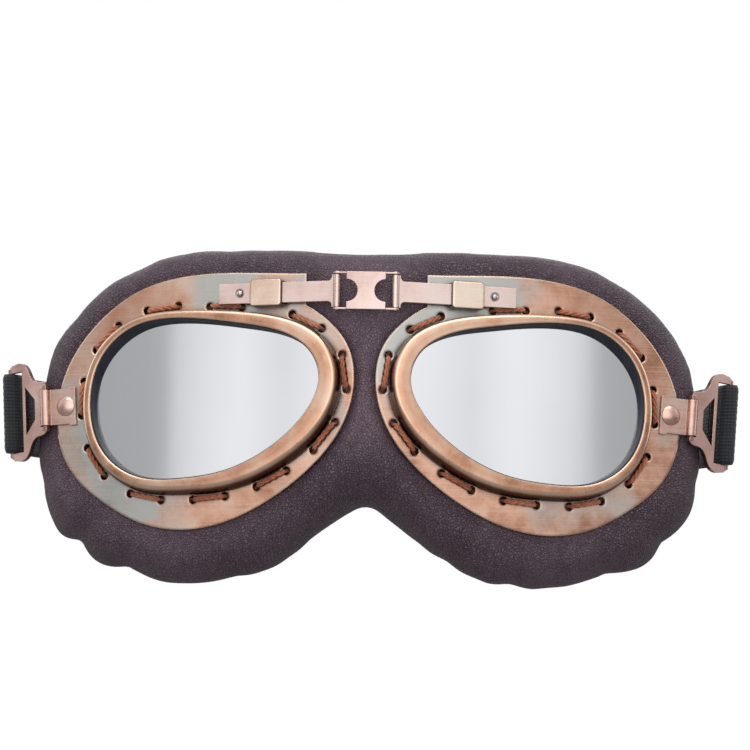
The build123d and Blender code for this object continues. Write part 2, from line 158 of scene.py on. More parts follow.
# Tones of the metals and the leather, each from the darkest to the lightest
PLATE_TONES = ((0.50, 0.235, 0.15), (0.86, 0.49, 0.345), (0.98, 0.73, 0.60))
RIM_TONES = ((0.54, 0.25, 0.145), (0.86, 0.475, 0.315), (0.98, 0.69, 0.51))
ARM_TONES = ((0.76, 0.54, 0.47), (0.93, 0.71, 0.65), (0.99, 0.82, 0.77))
LINK_TONES = ((0.58, 0.41, 0.36), (0.74, 0.56, 0.51), (0.82, 0.66, 0.61))
KEEPER_TONES = ((0.84, 0.57, 0.43), (0.99, 0.77, 0.62), (1.0, 0.89, 0.77))
TAB_TONES = ((0.58, 0.34, 0.27), (0.82, 0.53, 0.45), (0.94, 0.67, 0.58))
BUCKLE_TONES = ((0.32, 0.185, 0.16), (0.46, 0.29, 0.26), (0.60, 0.41, 0.37))
LEATHER_TONES = ((0.100, 0.059, 0.085), (0.134, 0.082, 0.116), (0.176, 0.112, 0.152))
PATINA = (0.57, 0.615, 0.60)
# The brown that the metals take as painted shade in their recesses and on their side faces
SHADE_BROWN = (0.060, 0.040, 0.036)
# Bare copper, for worn edges and for painted highlights
BARE_AND_HIGHLIGHT_COPPER = (1.0, 0.71, 0.53)

# Places on the left half that differ in tone, and the middle of the nose, where the leather is painted
# lighter as if lit, as x and z in metres
PATINA_CORNER = (0.026, 0.022)
PATINA_FREE = (0.076, 0.020)
BROWN_CORNER = (0.078, 0.018)
LIT_NOSE_MIDDLE = (0.0, 0.006)

# How far left of x = 0 the front panel is brightest, and its brightness by the distance from there
PANEL_SHIFT = 0.038
PANEL_STOPS = ((0.0, 1.36), (0.45, 1.2), (0.62, 1.0), (0.72, 0.90), (0.76, 0.80), (0.807, 0.94),
               (0.842, 0.87), (0.872, 0.79), (0.890, 0.70), (0.902, 0.50), (0.918, 0.44), (1.0, 0.41))


# ---------- curves ----------

def smooth_loop(points, count):
    """A periodic cubic through the points, by chord length, as count evenly spaced points."""
    pts = np.array(points, float)
    n = len(pts)
    gaps = np.linalg.norm(np.roll(pts, -1, axis=0) - pts, axis=1)
    matrix = np.zeros((n, n))
    right = np.zeros((n, pts.shape[1]))
    for i in range(n):
        before, after = gaps[i - 1], gaps[i]
        matrix[i, i - 1] += after
        matrix[i, i] += 2 * (before + after)
        matrix[i, (i + 1) % n] += before
        ahead = (pts[(i + 1) % n] - pts[i]) / after
        behind = (pts[i] - pts[i - 1]) / before
        right[i] = 3 * (before * ahead + after * behind)
    slopes = np.linalg.solve(matrix, right)
    t = np.linspace(0, 1, CURVE_STEPS, endpoint=False)[:, None]
    fine = []
    for i in range(n):
        j, gap = (i + 1) % n, gaps[i]
        fine.append((2 * t ** 3 - 3 * t ** 2 + 1) * pts[i] + (t ** 3 - 2 * t ** 2 + t) * gap * slopes[i]
                    + (3 * t ** 2 - 2 * t ** 3) * pts[j] + (t ** 3 - t ** 2) * gap * slopes[j])
    return evenly(np.concatenate(fine), count, closed=True)


def run_along(line):
    """How far along a polyline each of its points is."""
    return np.concatenate([[0], np.cumsum(np.linalg.norm(np.diff(line, axis=0), axis=1))])


def at_lengths(line, want):
    """The points of a polyline at these lengths along it."""
    run = run_along(line)
    return np.stack([np.interp(want, run, line[:, k]) for k in range(line.shape[1])], -1)


def evenly(points, count, closed=False):
    """The same polyline as count evenly spaced points."""
    pts = np.vstack([points, points[:1]]) if closed else points
    return at_lengths(pts, np.linspace(0, run_along(pts)[-1], count, endpoint=not closed))


def unit(vectors):
    return vectors / np.linalg.norm(vectors, axis=-1, keepdims=True)


def rightward(along):
    """Plane directions turned a quarter to the right."""
    return np.stack([along[..., 1], -along[..., 0]], -1)


def outward(loop):
    """Unit normals of a closed plane loop, pointing away from its inside."""
    normal = rightward(unit(np.roll(loop, -1, axis=0) - np.roll(loop, 1, axis=0)))
    return -normal if signed_area(loop) < 0 else normal


def signed_area(loop):
    ahead = np.roll(loop, -1, axis=0)
    return 0.5 * np.sum(loop[:, 0] * ahead[:, 1] - ahead[:, 0] * loop[:, 1])


def grown(loop, amount):
    return loop + outward(loop) * amount


def cup_point(s, z, h):
    """A point of the wearer's left cup frame, as a point of the row frame."""
    return np.stack([s * cos(WRAP) + h * sin(WRAP), APEX_Y + s * sin(WRAP) - h * cos(WRAP), z], -1)


def cup_ring(loop, h):
    """A loop of the left cup frame at height h, as points of the row frame."""
    return cup_point(loop[:, 0], loop[:, 1], np.full(len(loop), h) if np.isscalar(h) else h)


def front_view(loop, h):
    """The same loop as seen from the front: x and z."""
    return cup_ring(loop, h)[:, [0, 2]]


def inside(loop, pts):
    """Which points lie inside a closed plane loop."""
    x, y = pts[:, 0][:, None], pts[:, 1][:, None]
    x0, y0 = loop[:, 0][None], loop[:, 1][None]
    x1, y1 = np.roll(loop[:, 0], -1)[None], np.roll(loop[:, 1], -1)[None]
    crosses = ((y0 > y) != (y1 > y)) & (x < (x1 - x0) * (y - y0) / (y1 - y0 + 1e-12) + x0)
    return crosses.sum(1) % 2 == 1


def depth_in(loop, pts):
    """Distance from each point to a closed loop, positive inside it, and how far round the loop it is."""
    start, end = loop, np.roll(loop, -1, axis=0)
    best = np.full(len(pts), 1e9)
    place = np.zeros(len(pts))
    for k, a in enumerate(start):
        edge = end[k] - a
        t = np.clip(((pts - a) @ edge) / (edge @ edge), 0, 1)
        gap = np.linalg.norm(pts - a - t[:, None] * edge, axis=1)
        closer = gap < best
        best[closer] = gap[closer]
        place[closer] = (k + t[closer]) / len(loop)
    return np.where(inside(loop, pts), best, -best), place


# ---------- meshes ----------

def add_object(name, data):
    obj = bpy.data.objects.new(name, data)
    bpy.context.scene.collection.objects.link(obj)
    return obj


def add_mesh(name, verts, faces, smooth=True):
    """A mesh object from millimetre points."""
    mesh = bpy.data.meshes.new(name)
    mesh.from_pydata([tuple(v) for v in np.asarray(verts) * MM], [], [tuple(f) for f in faces])
    mesh.validate()
    mesh.polygons.foreach_set("use_smooth", [smooth] * len(mesh.polygons))
    return add_object(name, mesh)


def read_vectors(items, name):
    """One vector of each item, as rows."""
    flat = np.empty(len(items) * 3)
    items.foreach_get(name, flat)
    return flat.reshape(-1, 3)


def baked(obj):
    """An object's mesh with its modifiers applied. The object goes."""
    bpy.context.view_layer.update()
    mesh = bpy.data.meshes.new_from_object(obj.evaluated_get(bpy.context.evaluated_depsgraph_get()))
    bpy.data.objects.remove(obj)
    return mesh


@contextmanager
def edited(mesh, into=None):
    """A mesh opened for bmesh, and written back or into another one."""
    bm = bmesh.new()
    bm.from_mesh(mesh)
    yield bm
    bm.to_mesh(into or mesh)
    bm.free()


def outside_out(obj):
    """Point every face outward."""
    with edited(obj.data) as bm:
        bmesh.ops.recalc_face_normals(bm, faces=bm.faces)
    return obj


def tube_faces(rings, ring_size, close_rings):
    """Quads between successive rings of a swept profile, and a face over each open end."""
    faces = []
    for i in range(rings if close_rings else rings - 1):
        j = (i + 1) % rings
        for k in range(ring_size):
            m = (k + 1) % ring_size
            faces.append((i * ring_size + k, j * ring_size + k, j * ring_size + m, i * ring_size + m))
    if not close_rings:
        faces.append(tuple(range(ring_size))[::-1])
        faces.append(tuple((rings - 1) * ring_size + k for k in range(ring_size)))
    return faces


def swept(name, rings, close_rings=False):
    """A closed skin over a list of equal rings of points."""
    faces = tube_faces(len(rings), len(rings[0]), close_rings)
    return outside_out(add_mesh(name, np.concatenate(rings), faces))


def mirrored(obj, name):
    """The wearer's right twin of a left piece."""
    twin = add_object(name, obj.data.copy())
    twin.data.name = name
    twin.data.transform(Matrix.Scale(-1, 4, (1, 0, 0)))
    twin.data.flip_normals()
    if obj.data.has_custom_normals:
        kept = {}
        for corner, normal in zip(obj.data.loops, obj.data.corner_normals):
            x, y, z = normal.vector
            kept[corner.vertex_index] = (-x, y, z)
        twin.data.normals_split_custom_set_from_vertices([kept[i] for i in range(len(kept))])
    return twin


def paint(obj, material):
    obj.data.materials.clear()
    obj.data.materials.append(material)


def finish(piece, material, slot_name, *nodes):
    """Paint a piece, and hide the CAD nodes that it stands for."""
    paint(piece, material)
    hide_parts(*nodes)


# ---------- materials ----------

class Nodes:
    """A short way to build the node tree of a material or a world."""

    def __init__(self, owner):
        self.owner = owner
        owner.use_nodes = True
        self.tree = owner.node_tree

    def new(self, kind, **settings):
        node = self.tree.nodes.new("ShaderNode" + kind)
        for key, value in settings.items():
            setattr(node, key, value)
        return node

    def link(self, out, into):
        self.tree.links.new(out, into)

    def feed(self, socket, source):
        """Set a socket to a number or a colour, or link it."""
        if isinstance(source, tuple):
            socket.default_value = (*source, 1)
        elif isinstance(source, (int, float)):
            socket.default_value = source
        else:
            self.link(source, socket)

    def place(self, space="Object"):
        return self.new("TexCoord").outputs[space]

    def parts(self, source):
        """The three coordinates of a vector."""
        node = self.new("SeparateXYZ")
        self.link(source, node.inputs[0])
        return node.outputs

    def attribute(self, name):
        return self.new("Attribute", attribute_name=name).outputs["Fac"]

    def scaled(self, source, scale, rotation=(0, 0, 0)):
        node = self.new("Mapping")
        self.link(source, node.inputs["Vector"])
        node.inputs["Scale"].default_value = scale
        node.inputs["Rotation"].default_value = rotation
        return node.outputs["Vector"]

    def noise(self, source, scale, detail=4.0, rough=0.55, output="Fac"):
        node = self.new("TexNoise")
        self.link(source, node.inputs["Vector"])
        node.inputs["Scale"].default_value = scale
        node.inputs["Detail"].default_value = detail
        node.inputs["Roughness"].default_value = rough
        return node.outputs[output]

    def cells(self, source, scale):
        """Distance from the edge between two cells."""
        node = self.new("TexVoronoi", feature="DISTANCE_TO_EDGE")
        self.link(source, node.inputs["Vector"])
        node.inputs["Scale"].default_value = scale
        return node.outputs["Distance"]

    def ramp(self, source, stops):
        node = self.new("ValToRGB")
        self.link(source, node.inputs["Fac"])
        ramp = node.color_ramp
        while len(ramp.elements) < len(stops):
            ramp.elements.new(0.5)
        for element, (spot, colour) in zip(ramp.elements, stops):
            element.position = spot
            element.color = (*colour, 1)
        return node.outputs["Color"]

    def grey(self, source, low, high, spots=(0.0, 1.0)):
        return self.ramp(source, [(spots[0], (low,) * 3), (spots[1], (high,) * 3)])

    def mix(self, fac, a, b):
        node = self.new("Mix", data_type="RGBA")
        for source, index in ((fac, 0), (a, 6), (b, 7)):
            self.feed(node.inputs[index], source)
        return node.outputs[2]

    def math(self, kind, a, b=0.0):
        node = self.new("Math", operation=kind)
        self.feed(node.inputs[0], a)
        self.feed(node.inputs[1], b)
        return node.outputs[0]

    def times(self, a, b):
        return self.math("MULTIPLY", a, b)

    def plus(self, a, b):
        return self.math("ADD", a, b)

    def bump(self, height, strength, distance, normal=None):
        node = self.new("Bump")
        self.link(height, node.inputs["Height"])
        node.inputs["Strength"].default_value = strength
        node.inputs["Distance"].default_value = distance
        if normal is not None:
            self.link(normal, node.inputs["Normal"])
        return node.outputs["Normal"]

    def edges(self, radius, low, high):
        """White where the surface turns sharply within radius, and the rounded normal."""
        bevel = self.new("Bevel", samples=6)
        bevel.inputs["Radius"].default_value = radius
        dot = self.new("VectorMath", operation="DOT_PRODUCT")
        self.link(bevel.outputs["Normal"], dot.inputs[0])
        self.link(self.new("NewGeometry").outputs["Normal"], dot.inputs[1])
        turned = self.math("SUBTRACT", 1.0, dot.outputs["Value"])
        return self.grey(turned, 0.0, 1.0, (low, high)), bevel.outputs["Normal"]

    def spot(self, source, centre, near, far):
        """White within near of a place on the left half and of its mirror image, fading out at far."""
        x, _, z = self.parts(source)
        folded = self.new("CombineXYZ")
        self.link(self.math("ABSOLUTE", x), folded.inputs["X"])
        self.link(z, folded.inputs["Z"])
        away = self.new("VectorMath", operation="DISTANCE")
        self.link(folded.outputs[0], away.inputs[0])
        away.inputs[1].default_value = (centre[0], 0.0, centre[1])
        return self.grey(away.outputs["Value"], 1.0, 0.0, (near, far))

    def set(self, **values):
        """Feed the Principled shader's sockets, and return the material."""
        shader = self.tree.nodes["Principled BSDF"]
        for key, value in values.items():
            self.feed(shader.inputs[key.replace("_", " ")], value)
        return self.owner


def new_material(name):
    return Nodes(bpy.data.materials.new(name))


def copper(name, tones, brush, patina, edge_radius=0.0003, edge_wear_and_shine=0.75, wall_shade=0.0, shade_reach=0.0028):
    """Antique copper: brushed one way, with brown painted shade in its recesses and down its side faces,
    and bright bare copper on its edges, for wear and as a painted highlight.
    """
    n = new_material(name)
    where = n.place()
    dark, middle, light = tones
    clouds = n.noise(where, 85.0, 5.0, 0.62)
    broad = n.noise(where, 30.0, 3.0, 0.5)
    lines = n.noise(n.scaled(where, brush), 1.0, 5.0, 0.65)
    tone = n.plus(n.times(clouds, 0.55), n.times(broad, 0.45))
    base = n.ramp(tone, [(0.38, dark), (0.5, middle), (0.62, light)])
    streaked = n.mix(n.grey(lines, 0.0, 0.55, (0.48, 0.72)), base, light)
    scored = n.mix(n.grey(lines, 0.16, 0.0, (0.30, 0.5)), streaked, dark)
    scored = n.mix(n.times(n.spot(where, BROWN_CORNER, 0.008, 0.032), 0.45), scored, dark)
    toned = n.mix(patina(n, where, clouds), scored, PATINA)
    # Painted shade: ambient occlusion turns the colour brown in crevices and where parts meet.
    occlusion = n.new("AmbientOcclusion", samples=6)
    occlusion.inputs["Distance"].default_value = shade_reach
    hidden = n.grey(occlusion.outputs["AO"], 1.0, 0.0, (0.26, 0.76))
    # Painted shade from the rim's own point values: down its wall, and a faint dark band across its face.
    painted_shade = n.attribute("painted_shade")
    shade_mask = n.math("MAXIMUM", n.times(hidden, 0.88), painted_shade)
    # Painted shade on faces that turn away from front and back, such as side walls.
    if wall_shade:
        facing = n.math("ABSOLUTE", n.parts(n.place("Normal"))["Y"])
        shade_mask = n.math("MAXIMUM", shade_mask, n.grey(facing, wall_shade, 0.0, (0.45, 0.85)))
    shaded = n.mix(shade_mask, toned, SHADE_BROWN)
    # Edges brightened to bare copper: partly wear, partly a painted highlight along them.
    worn_and_lit_edge, rounded = n.edges(edge_radius, 0.008, 0.16)
    kept = n.math("SUBTRACT", 1.0, n.times(painted_shade, 0.9))
    # The rim's own point values add painted highlights on its lip and rolled edge.
    wear_and_highlight = n.math("MAXIMUM", n.times(n.times(worn_and_lit_edge, edge_wear_and_shine), kept), n.attribute("painted_highlight"))
    colour = n.mix(wear_and_highlight, shaded, BARE_AND_HIGHLIGHT_COPPER)
    rough = n.grey(n.plus(lines, n.times(clouds, 0.5)), 0.18, 0.38, (0.45, 1.0))
    height = n.plus(lines, n.times(n.noise(where, 900.0, 2.0), 0.35))
    return n.set(Base_Color=colour, Metallic=1.0, Roughness=rough,
                 Normal=n.bump(height, 0.18, 0.00003, rounded))


def no_patina(n, where, clouds):
    """Only a trace of grey, in the lightest clouds."""
    return n.grey(clouds, 0.0, 0.15, (0.55, 0.8))


def plate_patina(n, where, clouds):
    """Grey-green in soft patches, most at the brow corner beside the nose, least at the outer one."""
    patch = n.noise(n.scaled(where, (34.0, 34.0, 27.0), (0, 0.5, 0)), 1.0, 2.0, 0.5)
    more = n.times(n.spot(where, PATINA_CORNER, 0.006, 0.030), 0.15)
    less = n.times(n.spot(where, PATINA_FREE, 0.010, 0.028), 0.14)
    ragged = n.plus(n.plus(patch, more), n.times(clouds, 0.28))
    return n.grey(n.math("SUBTRACT", ragged, less), 0.0, 0.85, (0.60, 0.76))


def mirror_glass():
    n = new_material("mirror_lens")
    where = n.place()
    haze = n.noise(where, 25.0, 3.0)
    colour = n.ramp(haze, [(0.3, (0.85, 0.86, 0.89)), (0.7, (0.89, 0.90, 0.93))])
    smear = n.noise(n.scaled(where, (90.0, 90.0, 14.0)), 1.0, 4.0)
    return n.set(Base_Color=colour, Metallic=1.0, Roughness=n.grey(smear, 0.035, 0.075, (0.3, 0.8)))


def rubber():
    n = new_material("gasket_rubber")
    where = n.place()
    dust = n.noise(where, 260.0, 4.0, 0.7)
    return n.set(Base_Color=n.ramp(dust, [(0.35, (0.012, 0.017, 0.028)), (0.75, (0.03, 0.042, 0.06))]),
                 Roughness=n.grey(dust, 0.28, 0.5, (0.3, 0.8)), Normal=n.bump(dust, 0.2, 0.00004))


def steel():
    n = new_material("steel_ball")
    marks = n.noise(n.place(), 1500.0, 3.0)
    return n.set(Base_Color=n.ramp(marks, [(0.3, (0.55, 0.56, 0.58)), (0.7, (0.72, 0.72, 0.74))]),
                 Metallic=1.0, Roughness=n.grey(marks, 0.12, 0.3))


def leather():
    """Dark purple-brown leather: a pebble grain, fine wrinkles, painted sheen on the crests of its folds
    and a painted pool of light round the nose.
    """
    n = new_material("leather")
    where = n.place()
    bent = n.new("VectorMath", operation="MULTIPLY_ADD")
    n.link(n.noise(where, 170.0, 2.0, 0.5, "Color"), bent.inputs[0])
    bent.inputs[1].default_value = (0.0034, 0.0034, 0.0034)
    n.link(where, bent.inputs[2])
    grain = n.grey(n.cells(bent.outputs[0], 1150.0), 0.0, 1.0, (0.02, 0.26))
    fine = n.noise(where, 2300.0, 3.0, 0.6)
    crease = n.cells(n.scaled(bent.outputs[0], (1.0, 1.0, 0.45), (0, 0.5, 0)), 190.0)
    valley = n.grey(crease, 0.0, 1.0, (0.0, 0.05))
    fold = n.noise(where, 75.0, 6.0, 0.62)
    broad = n.noise(where, 28.0, 4.0, 0.6)
    base = n.ramp(broad, list(zip((0.25, 0.5, 0.8), LEATHER_TONES)))
    worked = n.grey(n.noise(where, 22.0, 3.0, 0.5), 0.45, 1.0, (0.38, 0.62))
    grained = n.mix(n.times(n.grey(grain, 0.95, 0.0), worked), base, (0.026, 0.012, 0.015))
    veined = n.mix(n.grey(valley, 0.30, 0.0), grained, (0.022, 0.013, 0.018))
    speckled = n.mix(n.grey(fine, 0.0, 0.35, (0.55, 0.8)), veined, (0.20, 0.14, 0.16))
    # Painted light: the leather round the middle of the nose is made lighter, as if lit from the front.
    near_nose = n.times(n.spot(where, LIT_NOSE_MIDDLE, 0.018, 0.034), 0.55)
    painted_light = n.mix(near_nose, speckled, (0.27, 0.185, 0.235))
    # Painted sheen: lighter where the fold noise, which also raises the bump, is high.
    colour = n.mix(n.grey(fold, 0.0, 0.30, (0.52, 0.78)), painted_light, (0.19, 0.124, 0.152))
    height = n.plus(n.times(grain, 0.9), n.times(valley, 0.45))
    height = n.plus(height, n.times(fine, 0.35))
    waves = n.bump(fold, 0.7, 0.0018, n.bump(height, 1.0, 0.00031))
    rough = n.grey(n.plus(fine, n.times(broad, 0.5)), 0.30, 0.48, (0.4, 1.0))
    return n.set(Base_Color=colour, Roughness=rough, Normal=waves, Specular_IOR_Level=0.5,
                 Sheen_Weight=0.03, Sheen_Roughness=0.5)


def velour():
    """Short-pile lining: soft, dark and fuzzy."""
    n = new_material("lining_velour")
    where = n.place()
    pile = n.noise(where, 2600.0, 4.0, 0.75)
    brushed = n.noise(n.scaled(where, (60.0, 60.0, 160.0)), 1.0, 4.0, 0.6)
    colour = n.ramp(n.plus(n.times(pile, 0.6), n.times(brushed, 0.5)),
                    [(0.35, (0.018, 0.016, 0.018)), (0.75, (0.07, 0.06, 0.062))])
    return n.set(Base_Color=colour, Roughness=0.95, Sheen_Weight=0.6, Sheen_Roughness=0.4,
                 Normal=n.bump(pile, 0.7, 0.0004))


def elastic():
    """Woven elastic: fine ribs along the strap, crossed by the weft, from its own UVs in metres."""
    n = new_material("strap_elastic")
    uv = n.place("UV")
    along, across, _ = n.parts(uv)
    ribs = n.math("SINE", n.times(across, 2 * pi / 0.00105))
    weft = n.math("SINE", n.plus(n.times(along, 2 * pi / 0.00082), n.times(ribs, 1.35)))
    weave = n.plus(n.plus(n.times(ribs, 0.28), n.times(weft, 0.22)), 0.5)
    fibre = n.noise(n.scaled(uv, (5200.0, 1500.0, 1.0)), 1.0, 4.0, 0.7)
    fade = n.noise(n.scaled(uv, (60.0, 160.0, 1.0)), 1.0, 3.0)
    tone = n.plus(n.times(weave, 0.62), n.times(fibre, 0.36))
    colour = n.ramp(tone, [(0.2, (0.006, 0.007, 0.010)), (0.6, (0.021, 0.023, 0.030)),
                           (0.95, (0.055, 0.060, 0.075))])
    colour = n.mix(n.grey(fade, 0.0, 0.35, (0.45, 0.8)), colour, (0.04, 0.042, 0.05))
    return n.set(Base_Color=colour, Roughness=0.82, Sheen_Weight=0.25, Sheen_Roughness=0.45,
                 Normal=n.bump(n.plus(weave, n.times(fibre, 0.4)), 0.8, 0.00022))


def rust_cord():
    """Waxed twisted cord in rust brown."""
    n = new_material("lace_cord")
    where = n.place()
    fibre = n.noise(where, 900.0, 5.0, 0.7)
    tone = n.plus(n.times(fibre, 0.7), n.times(n.noise(where, 90.0, 3.0), 0.4))
    colour = n.ramp(tone, [(0.3, (0.17, 0.042, 0.020)), (0.52, (0.46, 0.135, 0.062)),
                           (0.75, (0.70, 0.30, 0.17))])
    return n.set(Base_Color=colour, Roughness=n.grey(fibre, 0.42, 0.7), Sheen_Weight=0.15,
                 Normal=n.bump(fibre, 0.6, 0.00015))


def thread():
    n = new_material("sewing_thread")
    twist = n.noise(n.place(), 2400.0, 3.0)
    return n.set(Base_Color=n.ramp(twist, [(0.3, (0.010, 0.010, 0.013)), (0.7, (0.05, 0.05, 0.06))]),
                 Roughness=0.6, Normal=n.bump(twist, 0.5, 0.0001))


# ---------- eyecups ----------

def rim_skin():
    """The bezel: a nearly flat brushed face, a rolled outer edge and a wall down to the plate, the wall
    painted dark as shade and the lip and rolled edge given painted highlights.
    """
    outer = smooth_loop(RIM_CURVE, RIM_POINTS)
    inner = matched(smooth_loop(OPENING_CURVE, 4 * RIM_POINTS), outer)
    top = RIM_HIGH
    normal = outward(outer)
    below = np.clip(-normal[:, 1], 0, 1)            # the wall flares along the underside
    rings, painted_shade, painted_highlight = [], [], []

    def ring(points, h, dark, painted_light):
        rings.append(cup_ring(points, h))
        painted_shade.append(dark)
        painted_highlight.append(painted_light)

    # The lip and the face: how far outside the opening, how high, how much painted highlight
    for ease, h, painted_light in ((0.0, top - LIP_THICK, 0.0), (0.0, top - 0.34, 0.5), (0.07, top - 0.12, 1.0),
                            (0.2, top - 0.02, 1.0), (0.42, top, 0.1)):
        ring(grown(inner, ease), h, 0.0, painted_light)
    # A little painted shade across the middle of the face, a darker band between its bright edges
    ring((grown(inner, 0.42) + grown(outer, -1.25)) / 2, top - 0.01, 0.16, 0.0)
    # The rolled edge and the wall: how far inside the outer line, how high, how much painted shade, how
    # much painted highlight
    for ease, h, dark, painted_light in ((1.25, top - 0.03, 0.0, 0.05), (0.92, top - 0.1, 0.0, 0.9),
                                  (0.6, top - 0.26, 0.0, 0.8), (0.34, top - 0.5, 0.15, 0.25),
                                  (0.14, top - 0.82, 0.45, 0.0), (0.03, top - 1.2, 0.7, 0.0),
                                  (0.0, top - 1.7, 0.9, 0.0), (0.0, 2.0, 1.0, 0.0), (0.0, 0.9, 1.0, 0.0),
                                  (0.0, 0.02, 1.0, 0.0)):
        flare = np.clip((top - h) / 4.0, 0, 1) * (0.1 + 1.25 * below)
        ring(outer + normal * (flare - ease)[:, None], h, dark, painted_light)
    for h in (0.02, top - LIP_THICK):
        ring(grown(outer, -RIM_WALL), h, 1.0, 0.0)
    rim = swept("rim_left", rings, close_rings=True)
    # Per-point amounts of painted shade and painted highlight, read by the copper material
    for name, values in (("painted_shade", painted_shade), ("painted_highlight", painted_highlight)):
        layer = rim.data.attributes.new(name, "FLOAT", "POINT")
        layer.data.foreach_set("value", np.repeat(values, len(outer)))
    return rim


def gasket_skin():
    """The rubber wedge between lens and rim, widest on the outer upper side, where its extra width also
    stands in for a painted reflection: the dark band the lens shows there.
    """
    inner = smooth_loop(OPENING_CURVE, RIM_POINTS)
    toward = np.clip(outward(inner) @ np.array((0.62, 0.78)), 0, 1) ** 2.2
    foot = (GASKET_FOOT + GASKET_LEAN * toward)[:, None]
    # How far in from the opening's edge, and how high
    rings = [cup_ring(inner - outward(inner) * reach, h)
             for reach, h in ((0.3, RIM_HIGH - LIP_THICK), (0.36, 3.9), (foot * 0.45 + 0.2, 2.9),
                              (foot * 0.85 + 0.06, 2.1), (foot, 1.83), (-0.2, 1.83),
                              (-0.2, RIM_HIGH - LIP_THICK))]
    return swept("gasket_wedge_left", rings, close_rings=True)


def matched(loop, guide, window=15):
    """Points of loop that lie nearest to each point of guide, kept in order and eased over a window."""
    spots = [int(np.argmin(np.linalg.norm(loop - g, axis=1))) for g in guide]
    steps = np.unwrap(np.array(spots) * 2 * pi / len(loop))
    lap = np.sign(steps[-1] - steps[0]) * 2 * pi
    side = window // 2
    padded = np.concatenate([steps[-side:] - lap, steps, steps[:side] + lap])
    eased = np.convolve(padded, np.ones(window) / window, "valid") * len(loop) / (2 * pi)
    low = np.floor(eased).astype(int)
    part = (eased - low)[:, None]
    return loop[low % len(loop)] * (1 - part) + loop[(low + 1) % len(loop)] * part


def lace_line(count):
    """The closed line that the lacing holes stand on."""
    return grown(smooth_loop(RIM_CURVE, count), LACE_OFFSET) + LACE_SHIFT


def lace_holes():
    """Centres of the lacing holes in the cup frame."""
    line = lace_line(count=1440)
    middle = int(np.argmin(np.linalg.norm(line - KEEPER_AT, axis=1)))
    line = np.roll(line, -middle, axis=0)
    if line[20, 0] < KEEPER_AT[0]:
        line = np.roll(line[::-1], 1, axis=0)
    ring = np.vstack([line, line[:1]])
    step = (run_along(ring)[-1] - KEEPER_SPAN) / (HOLE_COUNT - 1)
    return at_lengths(ring, KEEPER_SPAN / 2 + np.arange(HOLE_COUNT) * step)


def lace_route(holes):
    """The cord's middle line: a low arch over each front stitch, and down through the holes."""
    points = []
    for i, (here, there) in enumerate(zip(holes, np.roll(holes, -1, axis=0))):
        inset = 0.38 / np.linalg.norm(there - here)
        # Places from one hole to the next, from 0 to 1, and the cord's height there
        if i % 2:
            levels = ((inset, BACK_H + 1.1), (0.12, BACK_H), (0.5, BACK_H - 0.05), (0.88, BACK_H),
                      (1 - inset, BACK_H + 1.1))
        else:
            crown = FRONT_H + 0.12 * sin(i * 1.7)
            levels = ((inset * 0.8, -0.9), (inset, 0.0), (inset + 0.07, crown - 0.15),
                      (0.3, crown + 0.12), (0.5, crown + 0.16), (0.7, crown + 0.10),
                      (0.93 - inset, crown - 0.15), (1 - inset, 0.0), (1 - inset * 0.8, -0.9))
        for t, h in levels:
            spot = here + (there - here) * t
            points.append((spot[0], spot[1], h))
    return np.array(points)


def lacing_skin():
    """Strands twisted together along the route, spread flat on the plate and drawn thin at the holes."""
    line = evenly(smooth_corners(lace_route(lace_holes())), CORD_STEPS, closed=True)
    along = unit(np.roll(line, -1, axis=0) - np.roll(line, 1, axis=0))
    side = np.cross(along, np.array((0.0, 0.0, 1.0)))
    side = carried(side, np.linalg.norm(side, axis=1) < 0.35)
    lift = np.cross(side, along)
    length = np.linalg.norm(np.roll(line, -1, axis=0) - line, axis=1).sum()
    phase = np.arange(len(line)) / len(line) * round(length / CORD_TWIST) * 2 * pi
    spread = np.clip((line[:, 2] + 0.2) / 0.9, 0, 1)
    spread = 0.66 + 0.34 * spread * spread * (3 - 2 * spread)
    verts, faces = [], []
    for k in range(STRAND_COUNT):
        angle = phase + k * 2 * pi / STRAND_COUNT
        middle = line + side * (np.cos(angle) * STRAND_ASIDE * spread)[:, None]
        middle = middle + lift * (np.sin(angle) * STRAND_LIFT * spread)[:, None]
        ring = []
        for turn in (q * 2 * pi / STRAND_SIDES for q in range(STRAND_SIDES)):
            ring.append(middle + side * (STRAND_WIDE * cos(turn) * spread)[:, None]
                        + lift * (STRAND_DEEP * sin(turn) * spread)[:, None])
        points = np.stack(ring, 1).reshape(-1, 3)
        verts.append(cup_point(points[:, 0], points[:, 1], points[:, 2]))
        first = k * len(points)
        faces += [tuple(v + first for v in f) for f in tube_faces(len(line), STRAND_SIDES, True)]
    return outside_out(add_mesh("lace_cord_left", np.concatenate(verts), faces))


def smooth_corners(points, rounds=2):
    """Chaikin's corner cutting of a closed polyline."""
    for _ in range(rounds):
        ahead = np.roll(points, -1, axis=0)
        pairs = np.stack([points * 0.75 + ahead * 0.25, points * 0.25 + ahead * 0.75], 1)
        points = pairs.reshape(-1, points.shape[1])
    return points


def carried(side, weak):
    """Fill the weak directions from their neighbours, and make all of unit length."""
    good = np.where(~weak)[0]
    count = len(side)
    ring = np.concatenate([good - count, good, good + count])
    spots = np.arange(count)
    return unit(np.stack([np.interp(spots, ring, np.tile(side[good, k], 3)) for k in range(3)], 1))


# ---------- mask ----------

def mask_outline(count):
    twin = [(-x, z) for x, z in reversed(MASK_CURVE)]
    return smooth_loop([(0, BROW_Z)] + MASK_CURVE + [(0, NOTCH_Z)] + twin, count)


def eye_hole(count):
    """The mask's eye opening, seen from the front."""
    return front_view(grown(smooth_loop(OPENING_CURVE, count), EYE_EASE), EYE_LEVEL)


